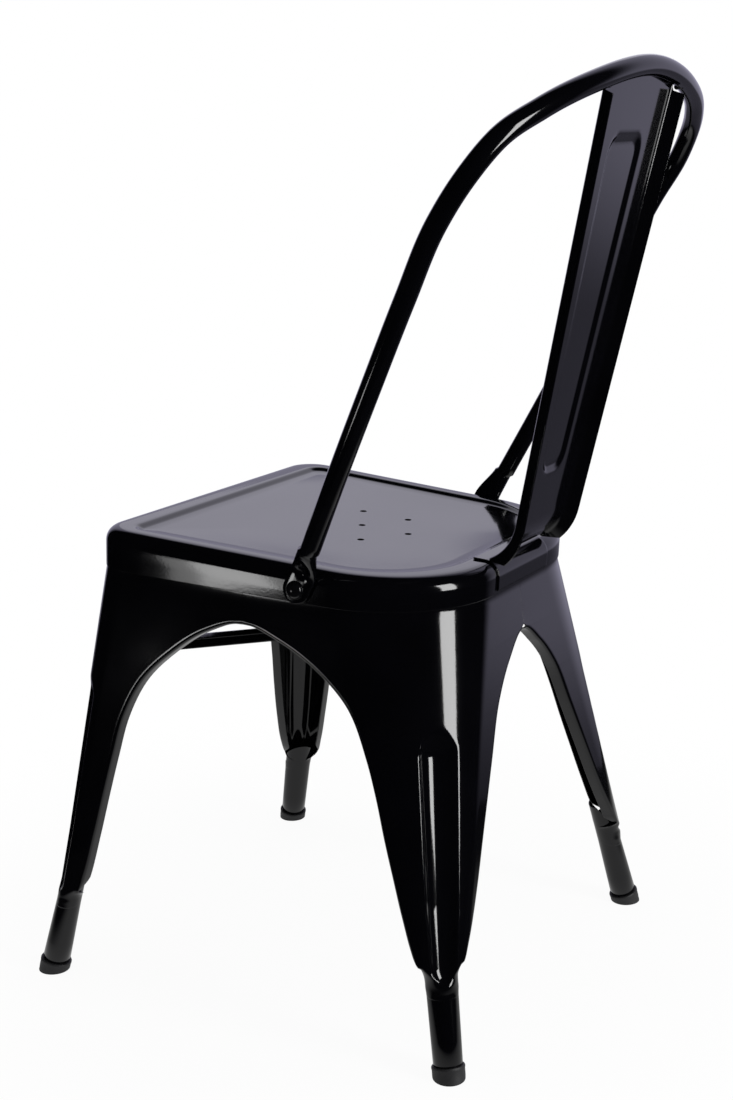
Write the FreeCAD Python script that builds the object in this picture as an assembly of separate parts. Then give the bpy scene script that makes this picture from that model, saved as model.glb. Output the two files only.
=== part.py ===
"""Metal bistro chair, pressed from sheet steel with a bent tube back.

FreeCAD 1.1 macro, millimetres.  +Z is up, the sitter faces -Y, the floor is Z = 0.
The sheet "Sizes" holds the driving dimensions.  Each piece is one object whose Label
is also the name of its STEP file.
"""
import FreeCAD, Part
import math
import os

Vector = FreeCAD.Vector
Placement = FreeCAD.Placement
Rotation = FreeCAD.Rotation

doc = FreeCAD.newDocument("BistroChair")

# sizes
SIZES = [
    ("sheet_steel", 1.2, "thickness of the seat, leg and splat sheet"),
    ("seam_gap", 0.3, "clearance left between neighbouring sheets"),
    ("seat_height", 434.4, "rim top above the floor at mid depth"),
    ("seat_slope", 3.2, "degrees the seat falls to the back"),
    ("seat_front", 202.0, "front edge ahead of the middle"),
    ("seat_back", 154.0, "rear edge behind the middle"),
    ("half_front", 180.0, "half width of the seat at the front"),
    ("half_back", 163.0, "half width of the seat at the rear"),
    ("front_corner", 36.0, "plan radius of the front corners"),
    ("back_corner", 112.0, "plan radius of the rear corners"),
    ("rim_round", 13.0, "radius over the edge of the seat"),
    ("rim_width", 22.0, "flat rim beside the pressed recess"),
    ("rim_extra", 7.5, "further rim at the front and the rear"),
    ("recess_slope", 8.0, "plan width of the recess wall"),
    ("recess_floor", 6.5, "deepest point of the seat below the rim"),
    ("recess_edge", 3.0, "depth of the recess at its wall"),
    ("skirt_front", 37.0, "height of the seat skirt at the front"),
    ("skirt_back", 28.0, "height of the seat skirt at the rear"),
    ("drain_radius", 2.75, "drain holes in the seat"),
    ("drain_circle", 51.0, "radius of the drain hole pattern"),
    ("drain_middle", -18.0, "drain pattern centre along Y"),
    ("foot_front_half", 210.6, "front foot centre from the mid plane"),
    ("foot_front", 251.0, "front foot centre ahead of the middle"),
    ("foot_back_half", 196.8, "rear foot centre from the mid plane"),
    ("foot_back", 184.0, "rear foot centre behind the middle"),
    ("front_toe_in", 6.0, "front leg sheet set back from its tube at the floor"),
    ("foot_tube", 13.2, "outer radius of the rolled foot tube"),
    ("roll_top", 108.0, "height where the rolled tube fades into the leg"),
    ("leg_end", 96.0, "height where the leg wings stop"),
    ("apron_drop", 10.0, "apron top below the rim"),
    ("apron_flat", 30.0, "straight apron height under its top"),
    ("arch_flange", 13.0, "inward flange along the arches"),
    ("flute_top", 318.0, "height of the flute's upper end"),
    ("flute_foot", 118.0, "height of the flute's lower end"),
    ("flute_wide", 19.0, "flute radius at the top"),
    ("flute_narrow", 8.5, "flute radius at the foot"),
    ("flute_depth", 9.0, "how deep the flute is pressed"),
    ("side_seam", -62.0, "seam between front and rear leg sheets"),
    ("back_seam", -24.0, "seam between the two rear leg sheets"),
    ("seam_lap", 12.0, "overlap behind each seam"),
    ("cap_radius", 15.0, "rubber foot"),
    ("cap_height", 15.0, "rubber foot below the tube's end"),
    ("plug_length", 22.0, "rubber plug inside the tube"),
    ("hoop_tube", 8.75, "outer radius of the back hoop tube"),
    ("hoop_wall", 1.5, "wall of the back hoop tube"),
    ("ear_thick", 5.0, "flattened end of the hoop"),
    ("ear_radius", 13.0, "rounded end of the hoop"),
    ("bolt_y", 20.0, "hoop bolt along Y"),
    ("bolt_drop", 18.5, "hoop bolt below the rim"),
    ("bolt_shank", 3.0, "bolt radius"),
    ("bolt_head", 7.5, "radius of the domed head"),
    ("splat_depth", 12.5, "splat flanges, measured rearwards"),
    ("splat_flare", 6.5, "outward lean of the splat flanges"),
    ("splat_bend", 5.0, "bend radius at the splat's edges"),
    ("splat_top_half", 73.0, "half width of the splat's panel at the top"),
    ("splat_foot_half", 52.0, "half width of the splat's panel at the bottom"),
    ("splat_rise", 0.2237, "rearward lean of the splat per mm of height"),
    ("splat_foot_y", 170.2, "panel front at the start of the curl, along Y"),
    ("splat_foot_z", 461.5, "height where the curl starts"),
    ("splat_top_z", 850.0, "uncut top of the splat"),
    ("splat_curl", 45.0, "radius of the forward curl at the bottom"),
    ("saddle_half", 50.0, "half width of the splat's foot plate"),
    ("saddle_sheet", 1.5, "thickness of the splat's foot plate"),
    ("emboss_low", 503.0, "lower end of the panel pressed into the splat"),
    ("emboss_high", 796.0, "upper end of the pressed panel"),
    ("emboss_depth", 2.4, "depth of the pressed panel"),
    ("brace_level", 333.0, "top of the lower cross brace"),
    ("brace_width", 14.0, "under-seat brace, leg of the angle"),
    ("brace_sheet", 1.5, "under-seat brace, thickness"),
]

sheet = doc.addObject("Spreadsheet::Sheet", "Sizes")
for row, (alias, value, note) in enumerate(SIZES, start=1):
    sheet.set("A%d" % row, alias)
    sheet.set("B%d" % row, str(value))
    sheet.set("C%d" % row, note)
    sheet.setAlias("B%d" % row, alias)
doc.recompute()


def size(alias):
    """Value of one driving dimension, read from the sheet."""
    return float(getattr(sheet, alias))


# helpers
pieces = []


def feature(label, shape):
    """One finished piece: a Part::Feature named after its STEP file."""
    piece = doc.addObject("Part::Feature", label)
    piece.Label = label
    piece.Shape = shape
    pieces.append(piece)
    return piece


def trapezoid(half_front, half_back, front, back, inset, ends=0.0):
    """Corners of a seat-like outline, moved inwards by the inset, and further at its ends."""
    lean = (half_back - half_front) / (back - front)
    slant = inset * math.sqrt(1.0 + lean * lean)
    y_front, y_back = front + inset + ends, back - inset - ends
    x_front = half_front + lean * (inset + ends) - slant
    x_back = half_back - lean * (inset + ends) - slant
    return [(x_front, y_front), (x_back, y_back), (-x_back, y_back), (-x_front, y_front)]


def rounded(points, radii, place):
    """Closed wire through the points with rounded corners, on a placed plane."""
    count = len(points)
    starts, middles, ends = [], [], []
    for i in range(count):
        corner = Vector(points[i][0], points[i][1], 0)
        before = Vector(points[i - 1][0], points[i - 1][1], 0) - corner
        after = Vector(points[(i + 1) % count][0], points[(i + 1) % count][1], 0) - corner
        before.normalize()
        after.normalize()
        half = before.getAngle(after) / 2.0
        reach = radii[i] / math.tan(half)
        bisector = before + after
        bisector.normalize()
        centre = corner + bisector * (radii[i] / math.sin(half))
        starts.append(corner + before * reach)
        middles.append(centre - bisector * radii[i])
        ends.append(corner + after * reach)
    edges = []
    for i in range(count):
        arc = Part.Arc(*[place.multVec(p) for p in (starts[i], middles[i], ends[i])])
        edges.append(arc.toShape())
        a, b = place.multVec(ends[i]), place.multVec(starts[(i + 1) % count])
        edges.append(Part.makeLine(a, b))
    return Part.Wire(edges)


def plane_at(height):
    """Horizontal plane at a height."""
    return Placement(Vector(0, 0, height), Rotation())


seat_place = Placement(Vector(0, 0, size("seat_height")),
                       Rotation(Vector(1, 0, 0), -size("seat_slope")))


def seat_plane(height):
    """Plane parallel to the rim of the seat, at a height above it."""
    return seat_place.multiply(plane_at(height))


def seat_outline(inset, place, front_radius=None, back_radius=None, ends=0.0):
    """Outline of the seat in plan, moved inwards, and further at its ends."""
    front_radius = size("front_corner") - inset if front_radius is None else front_radius
    back_radius = size("back_corner") - inset if back_radius is None else back_radius
    corners = trapezoid(size("half_front"), size("half_back"),
                        -size("seat_front"), size("seat_back"), inset, ends)
    radii = [front_radius, back_radius, back_radius, front_radius]
    return rounded(corners, radii, place)


def box(low, high):
    """Box between two corners."""
    return Part.makeBox(high[0] - low[0], high[1] - low[1], high[2] - low[2], Vector(*low))


def spline(points, closed=False):
    """Smooth curve through the points."""
    curve = Part.BSplineCurve()
    curve.interpolate(points, PeriodicFlag=closed)
    return curve.toShape()


T = size("sheet_steel")
GAP = size("seam_gap")

# seat pan
FAR = 400.0
RIM_EDGE_TOP = 0.6


def pan_block(inset, top):
    """Solid under the seat's skin: its outline with the rounded upper edge."""
    depth = 60.0
    wire = seat_outline(inset, plane_at(top - depth))
    block = Part.Face(wire).extrude(Vector(0, 0, depth))
    upper = [e for e in block.Edges if all(abs(v.Z - top) < 1e-6 for v in e.Vertexes)]
    return block.makeFillet(size("rim_round") - inset, upper)


def recess_tool(drop, grow):
    """The hollow pressed into the seat: sloping wall and slightly dished floor."""
    floor = -size("recess_floor") - drop
    rim, slope = size("rim_width"), size("recess_slope")
    upper = seat_outline(rim - grow, plane_at(RIM_EDGE_TOP - drop),
                         size("front_corner") - rim, size("back_corner") - rim,
                         size("rim_extra"))
    lower = seat_outline(rim + slope - grow, plane_at(floor - 1.0),
                         size("front_corner") - rim - 2.0, size("back_corner") - rim - 2.0,
                         size("rim_extra"))
    walls = Part.makeLoft([upper, lower], True, True)
    reach = size("half_front") - rim
    sag = size("recess_floor") - size("recess_edge")
    radius = (reach * reach + sag * sag) / (2.0 * sag)
    middle = (size("seat_back") - size("seat_front")) / 2.0
    dish = Part.makeSphere(radius, Vector(0, middle, floor + radius))
    return walls.common(dish)


outer_block = pan_block(0.0, 0.0).cut(recess_tool(0.0, 0.0))
inner_block = pan_block(T, -T).cut(recess_tool(T, 0.8))
pan = outer_block.cut(inner_block)
skirt_lean = math.degrees(math.atan2(size("skirt_front") - size("skirt_back"),
                                     size("seat_front") + size("seat_back")))
skirt_cut = box((-FAR, -FAR, -100.0), (FAR, FAR, 0.0))
skirt_cut.Placement = Placement(Vector(0, -size("seat_front"), -size("skirt_front")),
                                Rotation(Vector(1, 0, 0), skirt_lean))
pan = pan.cut(skirt_cut)
drains = []
for i in range(7):
    turn = math.radians(60.0 * i + 30.0)
    reach = 0.0 if i == 6 else size("drain_circle")
    spot = Vector(reach * math.cos(turn), size("drain_middle") + reach * math.sin(turn), -20.0)
    drains.append(Part.makeCylinder(size("drain_radius"), 40.0, spot))
pan = pan.cut(drains)

# hoop bolts' place
side_lean = (size("half_back") - size("half_front")) / (size("seat_back") + size("seat_front"))
side_turn = math.degrees(math.atan(-side_lean))
bolt_height = (size("seat_height") - size("bolt_drop")
               - size("bolt_y") * math.tan(math.radians(size("seat_slope"))))
side_x = size("half_front") + side_lean * (size("bolt_y") + size("seat_front"))


def bolt_place(side):
    """Frame on the skirt at a hoop bolt: its Z axis points outwards."""
    turn = side_turn if side > 0 else 180.0 - side_turn
    return Placement(Vector(side * side_x, size("bolt_y"), bolt_height),
                     Rotation(Vector(0, 0, 1), turn).multiply(Rotation(Vector(0, 1, 0), 90.0)))


def along_bolt(side, radius, start, end):
    """Round bar on the bolt's axis, measured outwards from the skirt."""
    rod = Part.makeCylinder(radius, end - start, Vector(0, 0, start))
    rod.Placement = bolt_place(side)
    return rod


bolt_holes = [along_bolt(s, size("bolt_shank") + GAP, -12.0, 12.0) for s in (1, -1)]
pan.Placement = seat_place
pan = pan.cut(bolt_holes)
seat_pan = feature("seat_pan", pan)

# leg sheets
def leg_block(inset):
    """Solid inside the skin of the whole base, from the apron to the floor."""
    hang = T + GAP + inset
    top = seat_outline(hang, seat_plane(-size("apron_drop")))
    under = seat_outline(hang, seat_plane(-size("apron_drop") - size("apron_flat")))
    reach = size("foot_tube")
    corners = trapezoid(size("foot_front_half") + reach, size("foot_back_half") + reach,
                        size("front_toe_in") - size("foot_front") - reach,
                        size("foot_back") + reach, inset)
    floor = rounded(corners, [reach - inset] * 4, plane_at(0.0))
    return Part.makeLoft([top, under, floor], True, True)


def corner_line(sx, sy):
    """Leg's outer corner: its floor point and its step per mm of height."""
    half, along = (("foot_front_half", "foot_front") if sy < 0 else ("foot_back_half", "foot_back"))
    radius = size("front_corner") if sy < 0 else size("back_corner")
    seat_half = size("half_front") if sy < 0 else size("half_back")
    seat_end = size("seat_front") if sy < 0 else size("seat_back")
    diagonal = math.sqrt(0.5)
    drop = size("seat_height") - size("apron_drop") - size("apron_flat")
    toe = size("front_toe_in") if sy < 0 else 0.0
    low = Vector(sx * (size(half) + size("foot_tube") * diagonal),
                 sy * (size(along) - toe + size("foot_tube") * diagonal), 0)
    inset = T + GAP
    high = Vector(sx * (seat_half - radius + (radius - inset) * diagonal),
                  sy * (seat_end - radius + (radius - inset) * diagonal), drop)
    return low, (high - low) * (1.0 / drop)


def foot_axis(sx, sy):
    """Axis of the rolled foot tube: its floor point and its lean per mm of height.

    It runs from the middle of the foot up into the corner of the leg sheet.
    """
    low, lean = corner_line(sx, sy)
    inward = Vector(-sx, -sy, 0) * (size("foot_tube") * math.sqrt(0.5))
    upper = low + lean * size("roll_top") + inward
    half, along = (("foot_front_half", "foot_front") if sy < 0 else ("foot_back_half", "foot_back"))
    foot = Vector(sx * size(half), sy * size(along), 0)
    return foot, (upper - foot) * (1.0 / size("roll_top"))


def moved_out(points, grow):
    """The points of an arch, moved away from its opening."""
    curve = spline([Vector(a, z, 0) for a, z in points]).Curve
    moved = []
    for a, z in points:
        way = curve.tangent(curve.parameter(Vector(a, z, 0)))[0]
        moved.append((a - way.y * grow, z + way.x * grow))
    return moved


def arch_wire(points, to_space):
    """Closed outline of an arch opening: spline over the top, straight under the floor."""
    curve = spline([to_space(a, z) for a, z in points])
    first, last = points[0], points[-1]
    under = -40.0
    corners = [to_space(last[0], last[1]), to_space(last[0], under),
               to_space(first[0], under), to_space(first[0], first[1])]
    return Part.Wire([curve] + [Part.makeLine(a, b) for a, b in zip(corners, corners[1:])])


# Arch outlines in the plane of each face: distance along the face and height.
side_arch = [(-222.0, 70.0), (-209.0, 100.0), (-196.0, 148.0), (-186.0, 190.0), (-176.0, 230.0),
             (-165.0, 269.0), (-144.0, 308.0), (-113.0, 338.0), (-76.0, 363.0), (-38.0, 375.0),
             (0.0, 364.0), (41.0, 342.0), (72.0, 314.0), (92.0, 274.0), (104.0, 240.0),
             (114.0, 206.0), (125.0, 172.0), (136.0, 139.0), (149.0, 106.0), (168.0, 78.0)]
back_half_arch = [(0.0, 352.0), (31.0, 332.0), (58.0, 302.0), (83.0, 254.0), (99.0, 222.0),
                  (115.0, 190.0), (131.0, 158.0), (148.0, 128.0), (163.0, 106.0), (184.0, 80.0)]
front_half_arch = [(0.0, 372.0), (42.0, 364.0), (80.0, 342.0), (110.0, 308.0), (129.0, 269.0),
                   (141.0, 230.0), (151.0, 190.0), (163.0, 148.0), (178.0, 108.0), (198.0, 78.0)]


def mirrored(half):
    """Both halves of an arch from one."""
    return [(-a, z) for a, z in reversed(half[1:])] + half


def arch_cutter(points, face, grow):
    """Solid that removes one arch opening, from mid depth out through the sheet."""
    points = moved_out(points, grow)
    if face == "side":
        wire = arch_wire(points, lambda a, z: Vector(-FAR, a, z))
        push = Vector(2 * FAR, 0, 0)
    elif face == "front":
        wire = arch_wire(points, lambda a, z: Vector(a, -FAR, z))
        push = Vector(0, FAR - 60.0, 0)
    else:
        wire = arch_wire(points, lambda a, z: Vector(a, FAR, z))
        push = Vector(0, 60.0 - FAR, 0)
    return Part.Face(wire).extrude(push)


def flute_tool(sx, sy, grow):
    """Tapered round-ended groove pressed into the corner of a leg."""
    low, lean = corner_line(sx, sy)
    outward = Vector(sx, sy, 0) * math.sqrt(0.5)
    wide, narrow, deep = size("flute_wide"), size("flute_narrow"), size("flute_depth")
    z_top, z_foot = size("flute_top") - wide, size("flute_foot") + narrow
    top = low + lean * z_top + outward * (wide - deep)
    foot = low + lean * z_foot + outward * (narrow - deep * 0.62)
    axis = top - foot
    cone = Part.makeCone(narrow + grow, wide + grow, axis.Length, foot, axis)
    ends = [Part.makeSphere(wide + grow, top), Part.makeSphere(narrow + grow, foot)]
    return cone.multiFuse(ends)


skin_outer = leg_block(0.0)
skin_inner = leg_block(T)
flange_inner = leg_block(size("arch_flange"))
openings, flanges = [], []
for points, face in ((side_arch, "side"), (mirrored(back_half_arch), "back"),
                     (mirrored(front_half_arch), "front")):
    hole = arch_cutter(points, face, 0.0)
    openings.append(hole)
    flanges.append(arch_cutter(points, face, T).cut(hole))

LEGS = [("left_front_leg", 1, -1), ("right_front_leg", -1, -1),
        ("left_rear_leg", 1, 1), ("right_rear_leg", -1, 1)]
outer_pressed = skin_outer.cut([flute_tool(sx, sy, 0.0) for _, sx, sy in LEGS])
inner_pressed = skin_inner.cut([flute_tool(sx, sy, T) for _, sx, sy in LEGS])
wings_only = box((-FAR, -FAR, size("leg_end")), (FAR, FAR, 2 * FAR))
base_skin = outer_pressed.cut(inner_pressed).cut(openings).common(wings_only)
flange_ring = skin_outer.cut(flange_inner).common(wings_only)
flange_skin = flange_ring.common(flanges[0].multiFuse(flanges[1:])).cut(openings)


def quarter(sx, sy):
    """Space of one leg sheet, up to its seams."""
    half_gap = GAP / 2.0
    side, back = size("side_seam"), (size("back_seam") if sy > 0 else -size("back_seam"))
    x_range = (back + half_gap, FAR) if sx > 0 else (-FAR, back - half_gap)
    y_range = (side + half_gap, FAR) if sy > 0 else (-FAR, side - half_gap)
    return box((x_range[0], y_range[0], -10.0), (x_range[1], y_range[1], 2 * FAR))


def rolled_foot(sx, sy):
    """Lower end of the leg sheet, rolled into a tube with an open seam inside."""
    axis_low, lean = foot_axis(sx, sy)
    direction = lean
    start = axis_low + direction * size("cap_height")
    length = (direction * (size("roll_top") - size("cap_height"))).Length
    outer = Part.makeCylinder(size("foot_tube"), length, start, direction)
    below, above = 20.0, 2.0
    inner = Part.makeCylinder(size("foot_tube") - T, length + (below + above) * direction.Length,
                              start - direction * below, direction)
    slit = box((0, -0.8, -20.0), (60.0, 0.8, 80.0))
    turn = math.degrees(math.atan2(-sy, -sx))
    slit.Placement = Placement(start, Rotation(Vector(0, 0, 1), turn))
    return outer.cut([inner, slit]), inner


def seam_strip(low, high):
    """Part of the apron between two corners, above the arches."""
    return box((low[0], low[1], 300.0), (high[0], high[1], 2 * FAR))


# Each seam: which leg carries the lap behind its neighbour, and where the lap lies.
lap_behind = leg_block(T + GAP).cut(leg_block(2 * T + GAP)).cut(openings)
lap_root = leg_block(T - 0.02).cut(leg_block(2 * T + GAP)).cut(openings)
LAP, ROOT, HALF = size("seam_lap"), 4.0, GAP / 2.0
side_y, back_x = size("side_seam"), size("back_seam")
laps = {
    "left_rear_leg": [((60.0, side_y - LAP, 0), (FAR, side_y + ROOT, 0), "lap"),
                      ((60.0, side_y + HALF, 0), (FAR, side_y + ROOT, 0), "root"),
                      ((back_x - LAP, 60.0, 0), (back_x + ROOT, FAR, 0), "lap"),
                      ((back_x + HALF, 60.0, 0), (back_x + ROOT, FAR, 0), "root")],
    "right_rear_leg": [((-FAR, side_y - LAP, 0), (-60.0, side_y + ROOT, 0), "lap"),
                       ((-FAR, side_y + HALF, 0), (-60.0, side_y + ROOT, 0), "root")],
    "left_front_leg": [((-back_x - LAP, -FAR, 0), (-back_x + ROOT, -60.0, 0), "lap"),
                       ((-back_x + HALF, -FAR, 0), (-back_x + ROOT, -60.0, 0), "root")],
}

leg_sheets = {}
for label, sx, sy in LEGS:
    space = quarter(sx, sy)
    sheet_part = base_skin.common(space)
    flange_part = flange_skin.common(space)
    tube, bore = rolled_foot(sx, sy)
    strips = [(lap_behind if kind == "lap" else lap_root).common(seam_strip(low, high))
              for low, high, kind in laps.get(label, [])]
    leg = sheet_part.fuse(flange_part)
    leg = leg.multiFuse(strips) if strips else leg
    leg = leg.cut(bore).fuse(tube)
    leg_sheets[label] = leg.cut(bolt_holes).removeSplitter()
    feature(label, leg_sheets[label])

# rubber feet
cap_shapes = []
for label, sx, sy in LEGS:
    axis_low, lean = foot_axis(sx, sy)
    direction = lean
    unit = Vector(direction)
    unit.normalize()
    reach = direction.Length
    shoulder = (size("cap_height") - GAP) * reach
    start = axis_low - unit * 20.0
    body = Part.makeCylinder(size("cap_radius"), shoulder + 20.0, start, unit)
    body = body.makeFillet(1.2, [body.Edges[0]])
    plug = Part.makeCylinder(size("foot_tube") - T - 0.15, size("plug_length") + 4.0,
                             axis_low + unit * (shoulder - 4.0), unit)
    cap = body.fuse(plug).common(box((-FAR, -FAR, 0.0), (FAR, FAR, FAR)))
    cap_shapes.append((label.replace("leg", "foot_cap"), cap))
for label, cap in cap_shapes:
    feature(label, cap)

# back hoop
ear_mid = GAP + size("ear_thick") / 2.0
hoop_half = [Vector(184.0, 43.0, 455.0), Vector(196.0, 80.0, 528.0), Vector(205.5, 118.0, 603.0),
             Vector(212.5, 154.0, 675.0), Vector(216.5, 184.0, 733.0), Vector(213.0, 208.0, 769.0),
             Vector(196.0, 226.0, 796.5), Vector(160.0, 243.0, 820.5), Vector(98.0, 258.0, 840.5)]
apex = Vector(0.0, 265.5, 853.5)
path_points = ([Vector(-p.x, p.y, p.z) for p in hoop_half] + [apex]
               + list(reversed(hoop_half)))
hoop_path = Part.Wire([spline(path_points)])
path_edge = hoop_path.Edges[0]


def ring(centre, normal, radius):
    """Circle across the tube."""
    return Part.Wire([Part.Edge(Part.Circle(centre, normal, radius))])


start_point = path_edge.valueAt(path_edge.FirstParameter)
start_way = path_edge.tangentAt(path_edge.FirstParameter)
tube_outer = hoop_path.makePipeShell([ring(start_point, start_way, size("hoop_tube"))], True, True)
tube_inner = hoop_path.makePipeShell(
    [ring(start_point, start_way, size("hoop_tube") - size("hoop_wall"))], True, True)
hoop = tube_outer.cut(tube_inner)


def flattened(side, centre, wide, thin, normal):
    """Ellipse across the tube where it is pressed flat against the skirt."""
    out = bolt_place(side).Rotation.multVec(Vector(0, 0, 1))
    along = normal.cross(out)
    along.normalize()
    out = along.cross(normal)
    out.normalize()
    frame = Part.Ellipse(centre + along * wide, centre + out * thin, centre)
    return Part.Wire([frame.toShape()])


ears = []
for side in (-1, 1):
    upper = Vector(side * hoop_half[0].x, hoop_half[0].y, hoop_half[0].z)
    way = path_edge.tangentAt(path_edge.FirstParameter if side < 0 else path_edge.LastParameter)
    way = way if way.z > 0 else way * -1.0
    place = bolt_place(side)
    ear_centre = place.multVec(Vector(0, 0, ear_mid))
    out = place.Rotation.multVec(Vector(0, 0, 1))
    up = way - out * way.dot(out)
    up.normalize()
    ear_top = ear_centre + up * 14.0
    middle = (upper + ear_top) * 0.5 + up * 1.0
    sleeve = size("hoop_tube") + GAP
    wires = [flattened(side, upper + way * 6.0, sleeve + 0.01, sleeve, way),
             flattened(side, middle, 11.0, 5.2, (way + up) * 0.5),
             flattened(side, ear_top, size("ear_radius"), size("ear_thick") / 2.0, up)]
    neck = Part.makeLoft(wires, True, False)
    thick = size("ear_thick")
    disc = Part.makeCylinder(size("ear_radius"), thick, ear_centre - out * (thick / 2.0), out)
    ears += [neck, disc]
    across = up.cross(out)
    r = size("ear_radius")
    corners = [ear_centre - out * (thick / 2.0) + across * r,
               ear_centre - out * (thick / 2.0) - across * r,
               ear_centre - out * (thick / 2.0) - across * r + up * 14.0,
               ear_centre - out * (thick / 2.0) + across * r + up * 14.0]
    plate = Part.Face(Part.makePolygon(corners + [corners[0]])).extrude(out * thick)
    ears.append(plate)
hoop = hoop.multiFuse(ears).cut(bolt_holes)
feature("back_hoop", hoop)

# hoop bolts
heads, washers, nuts = [], [], []
ear_face = GAP + size("ear_thick")
washer_thick = 1.2
apron_back = -(T + GAP + T)
for side in (1, -1):
    washer = along_bolt(side, 8.5, ear_face + 0.05, ear_face + 0.05 + washer_thick)
    washer = washer.cut(along_bolt(side, size("bolt_shank") + 0.2, ear_face - 1, ear_face + 4))
    washers.append(washer)
    base = ear_face + 0.1 + washer_thick
    dome = Part.makeSphere(8.4, Vector(0, 0, base + 4.4 - 8.4))
    dome.Placement = bolt_place(side)
    head = along_bolt(side, size("bolt_head"), base, base + 6.0).common(dome)
    shank = along_bolt(side, size("bolt_shank"), apron_back - 6.5, base + 1.0)
    heads.append(head.fuse(shank))
    hexagon = Part.Face(Part.makePolygon(
        [Vector(6.3 * math.cos(math.radians(60 * i)), 6.3 * math.sin(math.radians(60 * i)),
                apron_back - GAP - 5.0) for i in range(7)]))
    nut = hexagon.extrude(Vector(0, 0, 5.0))
    nut.Placement = bolt_place(side)
    nuts.append(nut.cut(along_bolt(side, size("bolt_shank") + 0.05, -20.0, 0.0)))
feature("hoop_bolts", Part.makeCompound(heads))
feature("hoop_washers", Part.makeCompound(washers))
feature("hoop_nuts", Part.makeCompound(nuts))

# back splat
lean_angle = math.atan(size("splat_rise"))
curl_start = Vector(0.0, size("splat_foot_y"), size("splat_foot_z"))
splat_height = size("splat_top_z") - curl_start.z
top_point = curl_start + Vector(0.0, size("splat_rise"), 1.0) * splat_height
curl = size("splat_curl")


def splat_station(turn, along):
    """Middle of the panel and its rearward normal: straight part, then the curl."""
    if turn == 0.0:
        centre = curl_start + (top_point - curl_start) * along
        angle = lean_angle
    else:
        hub = curl_start - Vector(0, math.cos(lean_angle), -math.sin(lean_angle)) * curl
        angle = lean_angle + turn
        centre = hub + Vector(0, math.cos(angle), -math.sin(angle)) * curl
    normal = Vector(0, math.cos(angle), -math.sin(angle))
    return centre, normal


def splat_half(height):
    """Half width of the splat at a height."""
    share = (height - curl_start.z) / (top_point.z - curl_start.z)
    share = max(0.0, min(1.0, share))
    return size("splat_foot_half") + (size("splat_top_half") - size("splat_foot_half")) * share


def splat_section(centre, normal, half):
    """Channel across the splat: a flat panel between two flared flanges."""
    deep, bend = size("splat_depth"), size("splat_bend")
    flare = math.atan2(size("splat_flare"), deep)
    turn = math.pi / 2.0 - flare
    reach = bend * math.tan(turn / 2.0)
    hub = (half - reach, bend)

    def point(side, a, b):
        return centre + Vector(side * a, 0, 0) + normal * b

    def flank(side):
        """Points of one side: outer bend, flange end, inner bend."""
        found = []
        for angle in (0.0, turn / 2.0, turn):
            found.append(point(side, hub[0] + bend * math.sin(angle), hub[1] - bend * math.cos(angle)))
        end = (half + size("splat_flare"), deep)
        found.append(point(side, *end))
        found.append(point(side, end[0] - T * math.cos(flare), end[1] + T * math.sin(flare)))
        for angle in (turn, turn / 2.0, 0.0):
            inner = bend - T
            found.append(point(side, hub[0] + inner * math.sin(angle), hub[1] - inner * math.cos(angle)))
        return found

    right, left = flank(1), flank(-1)
    edges = [Part.makeLine(left[0], right[0])]
    for side, order in ((right, 1), (left, -1)):
        run = [Part.Arc(side[0], side[1], side[2]).toShape(), Part.makeLine(side[2], side[3]),
               Part.makeLine(side[3], side[4]), Part.makeLine(side[4], side[5]),
               Part.Arc(side[5], side[6], side[7]).toShape()]
        edges += run[::order]
        if order == 1:
            edges.append(Part.makeLine(right[7], left[7]))
    return Part.Wire(edges)


straight = [splat_section(*splat_station(0.0, along), splat_half(
    curl_start.z + (top_point.z - curl_start.z) * along)) for along in (1.0, 0.0)]
upper_splat = Part.makeLoft(straight, True, True)
curled = [splat_section(*splat_station(math.radians(turn), 0.0), size("splat_foot_half"))
          for turn in (0.0, 18.0, 36.0, 52.0)]
lower_splat = Part.makeLoft(curled, True, False)
splat = upper_splat.fuse(lower_splat)


def along_splat(height):
    """Share of the way up the straight part of the splat."""
    return (height - curl_start.z) / splat_height


def pressed_outline(inset):
    """Outline of the long panel pressed into the splat, on the front of the sheet."""
    low, _ = splat_station(0.0, along_splat(size("emboss_low")))
    high, _ = splat_station(0.0, along_splat(size("emboss_high")))
    place = Placement(low, Rotation(Vector(1, 0, 0), 90.0 - math.degrees(lean_angle)))
    height = (high - low).Length
    low_half = splat_half(low.z) - 32.0 - inset
    high_half = splat_half(high.z) - 37.0 - inset
    corners = [(low_half, inset), (high_half, height - inset),
               (-high_half, height - inset), (-low_half, inset)]
    return rounded(corners, [17.0 - inset] * 4, place)


normal = splat_station(0.0, 0.5)[1]
deep = size("emboss_depth")
raised = Part.Face(pressed_outline(0.0)).extrude(normal * -deep)
hollow = Part.Face(pressed_outline(T)).extrude(normal * (deep + 4.0))
hollow.translate(normal * (T - deep))
splat = splat.fuse(raised).cut(hollow)
rest_height = GAP * 2 + size("saddle_sheet")
under_rim = box((-FAR, -FAR, -FAR), (FAR, FAR, rest_height))
under_rim.Placement = seat_place
hoop_room = hoop_path.makePipeShell(
    [ring(start_point, start_way, size("hoop_tube") + GAP)], True, True)
hidden = 5.0
shoulder_point = hoop_half[-1]
top_arc = Part.Arc(Vector(-shoulder_point.x, 0, shoulder_point.z - hidden),
                   Vector(0, 0, apex.z - hidden),
                   Vector(shoulder_point.x, 0, shoulder_point.z - hidden)).toShape()
ends = [Vector(shoulder_point.x, 0, shoulder_point.z - hidden), Vector(shoulder_point.x, 0, 2 * FAR + 200),
        Vector(-shoulder_point.x, 0, 2 * FAR + 200), Vector(-shoulder_point.x, 0, shoulder_point.z - hidden)]
over_top = Part.Face(Part.Wire([top_arc] + [Part.makeLine(a, b) for a, b in zip(ends, ends[1:])]))
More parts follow.
